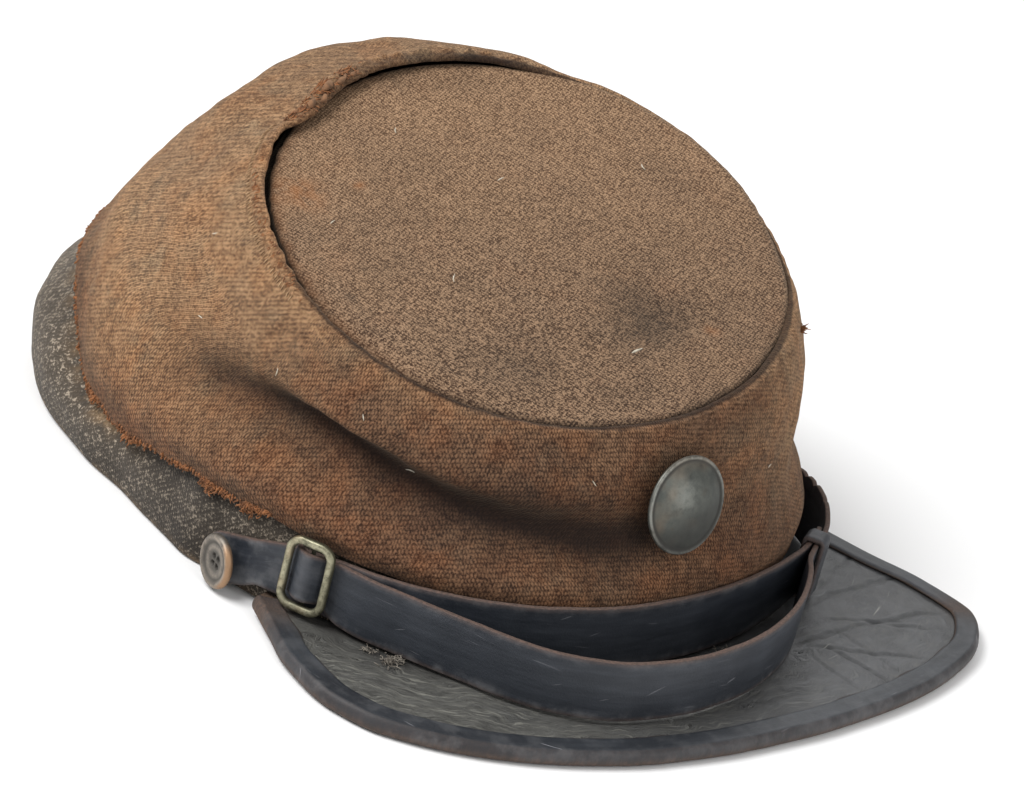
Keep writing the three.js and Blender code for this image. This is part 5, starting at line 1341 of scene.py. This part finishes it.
finish_piece(me, "hem_fray_threads", M_RUST_THREAD)

# whip stitches left of the open seam and stitches that sink into the top seam
lines, radii = [], []
for ph in np.arange(-146, -92, 1.0):
    p, n, up, rd = crown_point(ph, 4.50, 0.02)
    a = p + rd * 0.40 - up * 0.85
    c = p - rd * 0.40 + up * 0.85
    lines.append(np.array([a - n * 0.35, a * 0.8 + c * 0.2 + n * 0.10, (a + c) / 2 + n * 0.18, a * 0.2 + c * 0.8 + n * 0.10, c - n * 0.35]))
    radii.append(np.array([0.13, 0.17, 0.17, 0.17, 0.13]))
v_, f_ = tubes(lines, radii)
me = raw_mesh("stitches", v_, f_)
finish_piece(me, "crown_stitches", M_TAN_THREAD)

# torn rust-coloured wisps along the open lip and one at the right edge
lines, radii = [], []
for ph0, sp_, cnt, L0 in ((-153, 2.2, 46, 1.6), (-160, 3, 50, 1.7), (-168, 3, 44, 1.7), (-148.5, 1.6, 30, 1.5), (-120, 14, 50, 0.8), (-98, 8, 30, 0.8)):
    for _ in range(cnt):
        ph = ph0 + rng.normal() * sp_ * 0.6
        p, n, up, rd = crown_point(ph, rng.uniform(4.7, 5.0))
        L = L0 * rng.uniform(0.4, 1.2)
        d = unit(up * rng.uniform(0.2, 1.0) + n * rng.uniform(-0.1, 0.6) + rd * rng.normal() * 0.8)
        curl = rng.normal(size=3) * 0.5
        lines.append(np.array([p - up * 0.6 - n * 0.2] + [p + d * L * s_ + curl * s_ ** 2 * L * 0.3 for s_ in (0.15, 0.4, 0.7, 1.0)]))
        radii.append(np.linspace(0.19, 0.09, 5) * rng.uniform(0.8, 1.3))
for _ in range(46):
    p, n, up, rd = crown_point(47.5 + rng.normal() * 0.35, 3.69 + rng.normal() * 0.02)
    d = unit(n * 1.6 + rng.normal(size=3) * 0.5)
    L = rng.uniform(0.6, 1.7)
    curl = rng.normal(size=3) * 0.8
    lines.append(np.array([p - n * 0.4] + [p + d * L * s_ + curl * s_ ** 2 * L * 0.35 for s_ in (0.15, 0.4, 0.7, 1.0)]))
    radii.append(np.linspace(0.2, 0.1, 5))
v_, f_ = tubes(lines, radii)
me = raw_mesh("wisps", v_, f_)
finish_piece(me, "lip_wisps", M_RUST_THREAD)


# lint: a few pale fibres and the rusty crumbs between the straps
def fibre(p, d, L, bend):
    s_ = np.linspace(0, 1, 6)[:, None]
    return p + d * L * (s_ - 0.5) + bend * (s_ - 0.5) ** 2 * L


lines, radii = [], []
LINT = rows("x y long turn", (-0.1, -42.8, 3.4, 5), (-27, -5, 3.0, 50), (5, 20, 2.4, 10), (42, 10, 2.2, 80), (-44, 22, 2.0, 20), (-10, 44, 2.0, 60))
for x_, y_, L, turn_ in zip(*[LINT[q] for q in "x y long turn".split()]):
    c = np.array([[x_, y_, 0.0]])
    base = c @ TOP_FRAME.T + np.array(TOP_AT)
    z_ = -1.2 * (1 - (math.hypot(x_, y_) / TOP_R) ** 2) + 0.75
    base = base[0] + TOP_FRAME[:, 2] * z_
    d = TOP_FRAME @ np.array([math.cos(math.radians(turn_)), math.sin(math.radians(turn_)), 0.0])
    lines.append(fibre(base, d, L, TOP_FRAME[:, 0] * 0.5))
    radii.append(np.array([0.06, 0.14, 0.2, 0.2, 0.14, 0.06]) * (1.6 if L > 3.2 else 0.8))
for ph, t_, L in ((-52, 2.35, 2.6), (-84, 3.0, 2.0), (-100, 2.6, 1.8), (-66, 3.4, 1.6), (-24, 3.4, 1.6), (20, 2.4, 1.4), (-118, 3.5, 1.6)):
    p, n, up, rd = crown_point(ph, t_, 0.25)
    lines.append(fibre(p, unit(rd + up * rng.normal()), L, n * 0.3))
    radii.append(np.array([0.05, 0.1, 0.14, 0.14, 0.1, 0.05]))
v_, f_ = tubes(lines, radii)
finish_piece(raw_mesh("lint", v_, f_), "pale_lint_fibres", M_LINT)

lines, radii = [], []
for cx, cy, cnt, sp_, L0 in ((-70.0, -79.0, 80, (3.0, 2.0), 1.8), (-72, -73, 26, (1.4, 1.4), 1.5), (20, -98.2, 60, (6.0, 1.6), 1.6)):
    for _ in range(cnt):
        p = np.array([cx + rng.normal() * sp_[0] * 0.6, cy + rng.normal() * sp_[1] * 0.6, 3.95 + abs(rng.normal()) * 0.5])
        d = unit(rng.normal(size=3) * np.array([1, 1, 0.35]))
        L = L0 * rng.uniform(0.3, 1.1)
        bend = rng.normal(size=3) * np.array([1, 1, 0.3])
        q = fibre(p, d, L, bend)
        q[:, 2] = np.maximum(q[:, 2], 3.85)
        lines.append(q)
        radii.append(np.array([0.05, 0.09, 0.11, 0.11, 0.09, 0.05]))
v_, f_ = tubes(lines, radii)
finish_piece(raw_mesh("crumbs", v_, f_), "peak_lint_tufts", M_GREY_THREAD)

# rolled, felted bits where moths have opened the seam
lines, radii = [], []
for ph, t_, L, r_, lift in ((-150.5, 4.72, 2.6, 0.95, 0.1), (-153.5, 4.90, 3.4, 1.20, 0.3), (-157.0, 4.98, 3.2, 1.10, 0.3), (-161.0, 4.92, 4.2, 1.25, 0.4), (-165.5, 4.95, 4.4, 1.15, 0.3), (-170.0, 4.95, 3.6, 0.90, 0.2)):
    p, n, up, rd = crown_point(ph, t_, lift)
    s_ = np.linspace(-0.5, 0.5, 15)[:, None]
    ln = p + rd * L * s_ + up * 0.5 * np.cos(3 * s_) + rng.normal(size=3) * 0.15
    ln = ln + 0.35 * np.stack([noise(ln, 1.5, 151), noise(ln, 1.5, 152), noise(ln, 1.5, 153)], -1)
    lines.append(ln)
    radii.append(0.74 * r_ * np.sqrt(np.clip(1 - (2 * s_[:, 0]) ** 2, 0.02, 1)) * (1 + 0.18 * noise(ln, 2.2, 154)))
v_, f_ = tubes(lines, radii, 14)
v_ = v_ + 0.16 * np.stack([noise(v_, 1.3, 155), noise(v_, 1.3, 156), noise(v_, 1.3, 157)], -1)
finish_piece(raw_mesh("felt", v_, f_), "moth_felt", M_FELT)

# ------------------------------------------------------------------ stage
fl = bpy.data.meshes.new("floor")
S_ = 6.0
fl.from_pydata([(-S_, -S_, -0.0004), (S_, -S_, -0.0004), (S_, S_, -0.0004), (-S_, S_, -0.0004)], [], [(0, 1, 2, 3)])
floor = bpy.data.objects.new("floor", fl)
bpy.context.scene.collection.objects.link(floor)
gm = G("floor_pale")
fn_ = gm.noise(120.0, detail=2.0)
fl.materials.append(gm.done(gm.mix(fn_, (0.86, 0.86, 0.86), (0.90, 0.90, 0.90)), rough=0.9, spec=0.1))

world = bpy.data.worlds.new("studio")
bpy.context.scene.world = world
world.use_nodes = True
bg = world.node_tree.nodes["Background"]
bg.inputs[0].default_value = (1.0, 1.0, 1.0, 1.0)
bg.inputs[1].default_value = 0.55


def area(name, at, to, size, power, color=(1, 1, 1)):
    ld = bpy.data.lights.new(name, "AREA")
    ld.energy = power
    ld.size = size
    ld.color = color
    o = bpy.data.objects.new(name, ld)
    bpy.context.scene.collection.objects.link(o)
    o.location = at
    o.rotation_euler = (Vector(to) - Vector(at)).to_track_quat("-Z", "Y").to_euler()
    return o


area("key", (-0.95, 0.35, 1.25), (0, 0, 0.04), 0.9, 26.0)
area("fill", (-0.2, -1.6, 1.1), (0, 0, 0.03), 1.2, 7.0)
area("rim", (1.2, 1.0, 1.1), (0, 0, 0.05), 0.9, 6.0)
area("glint", (0.62, -1.30, 0.34), (0, -0.06, 0.04), 0.28, 3.2)

# ------------------------------------------------------------------ camera
cam = bpy.data.cameras.new("camera")
co = bpy.data.objects.new("camera", cam)
bpy.context.scene.collection.objects.link(co)
Rr = Vector((0.7561327, -0.6087745, 0.2401188))
Ur = Vector((0.1003812, 0.4704709, 0.8766874))
Rr.normalize()
Br = Rr.cross(Ur).normalized()
Ur = Br.cross(Rr).normalized()
C = Vector((-761.7062, -776.8196, 527.6950)) + Vector(SHIFT)
m = Matrix((Rr, Ur, Br)).transposed().to_4x4()
m.translation = C / 1000.0
co.matrix_world = m
cam.sensor_fit = "HORIZONTAL"
cam.sensor_width = 36.0
cam.lens = 4865.3755 * 36.0 / 1024.0
cam.clip_end = 50.0
bpy.context.scene.camera = co
bpy.context.scene.view_settings.view_transform = "Standard"
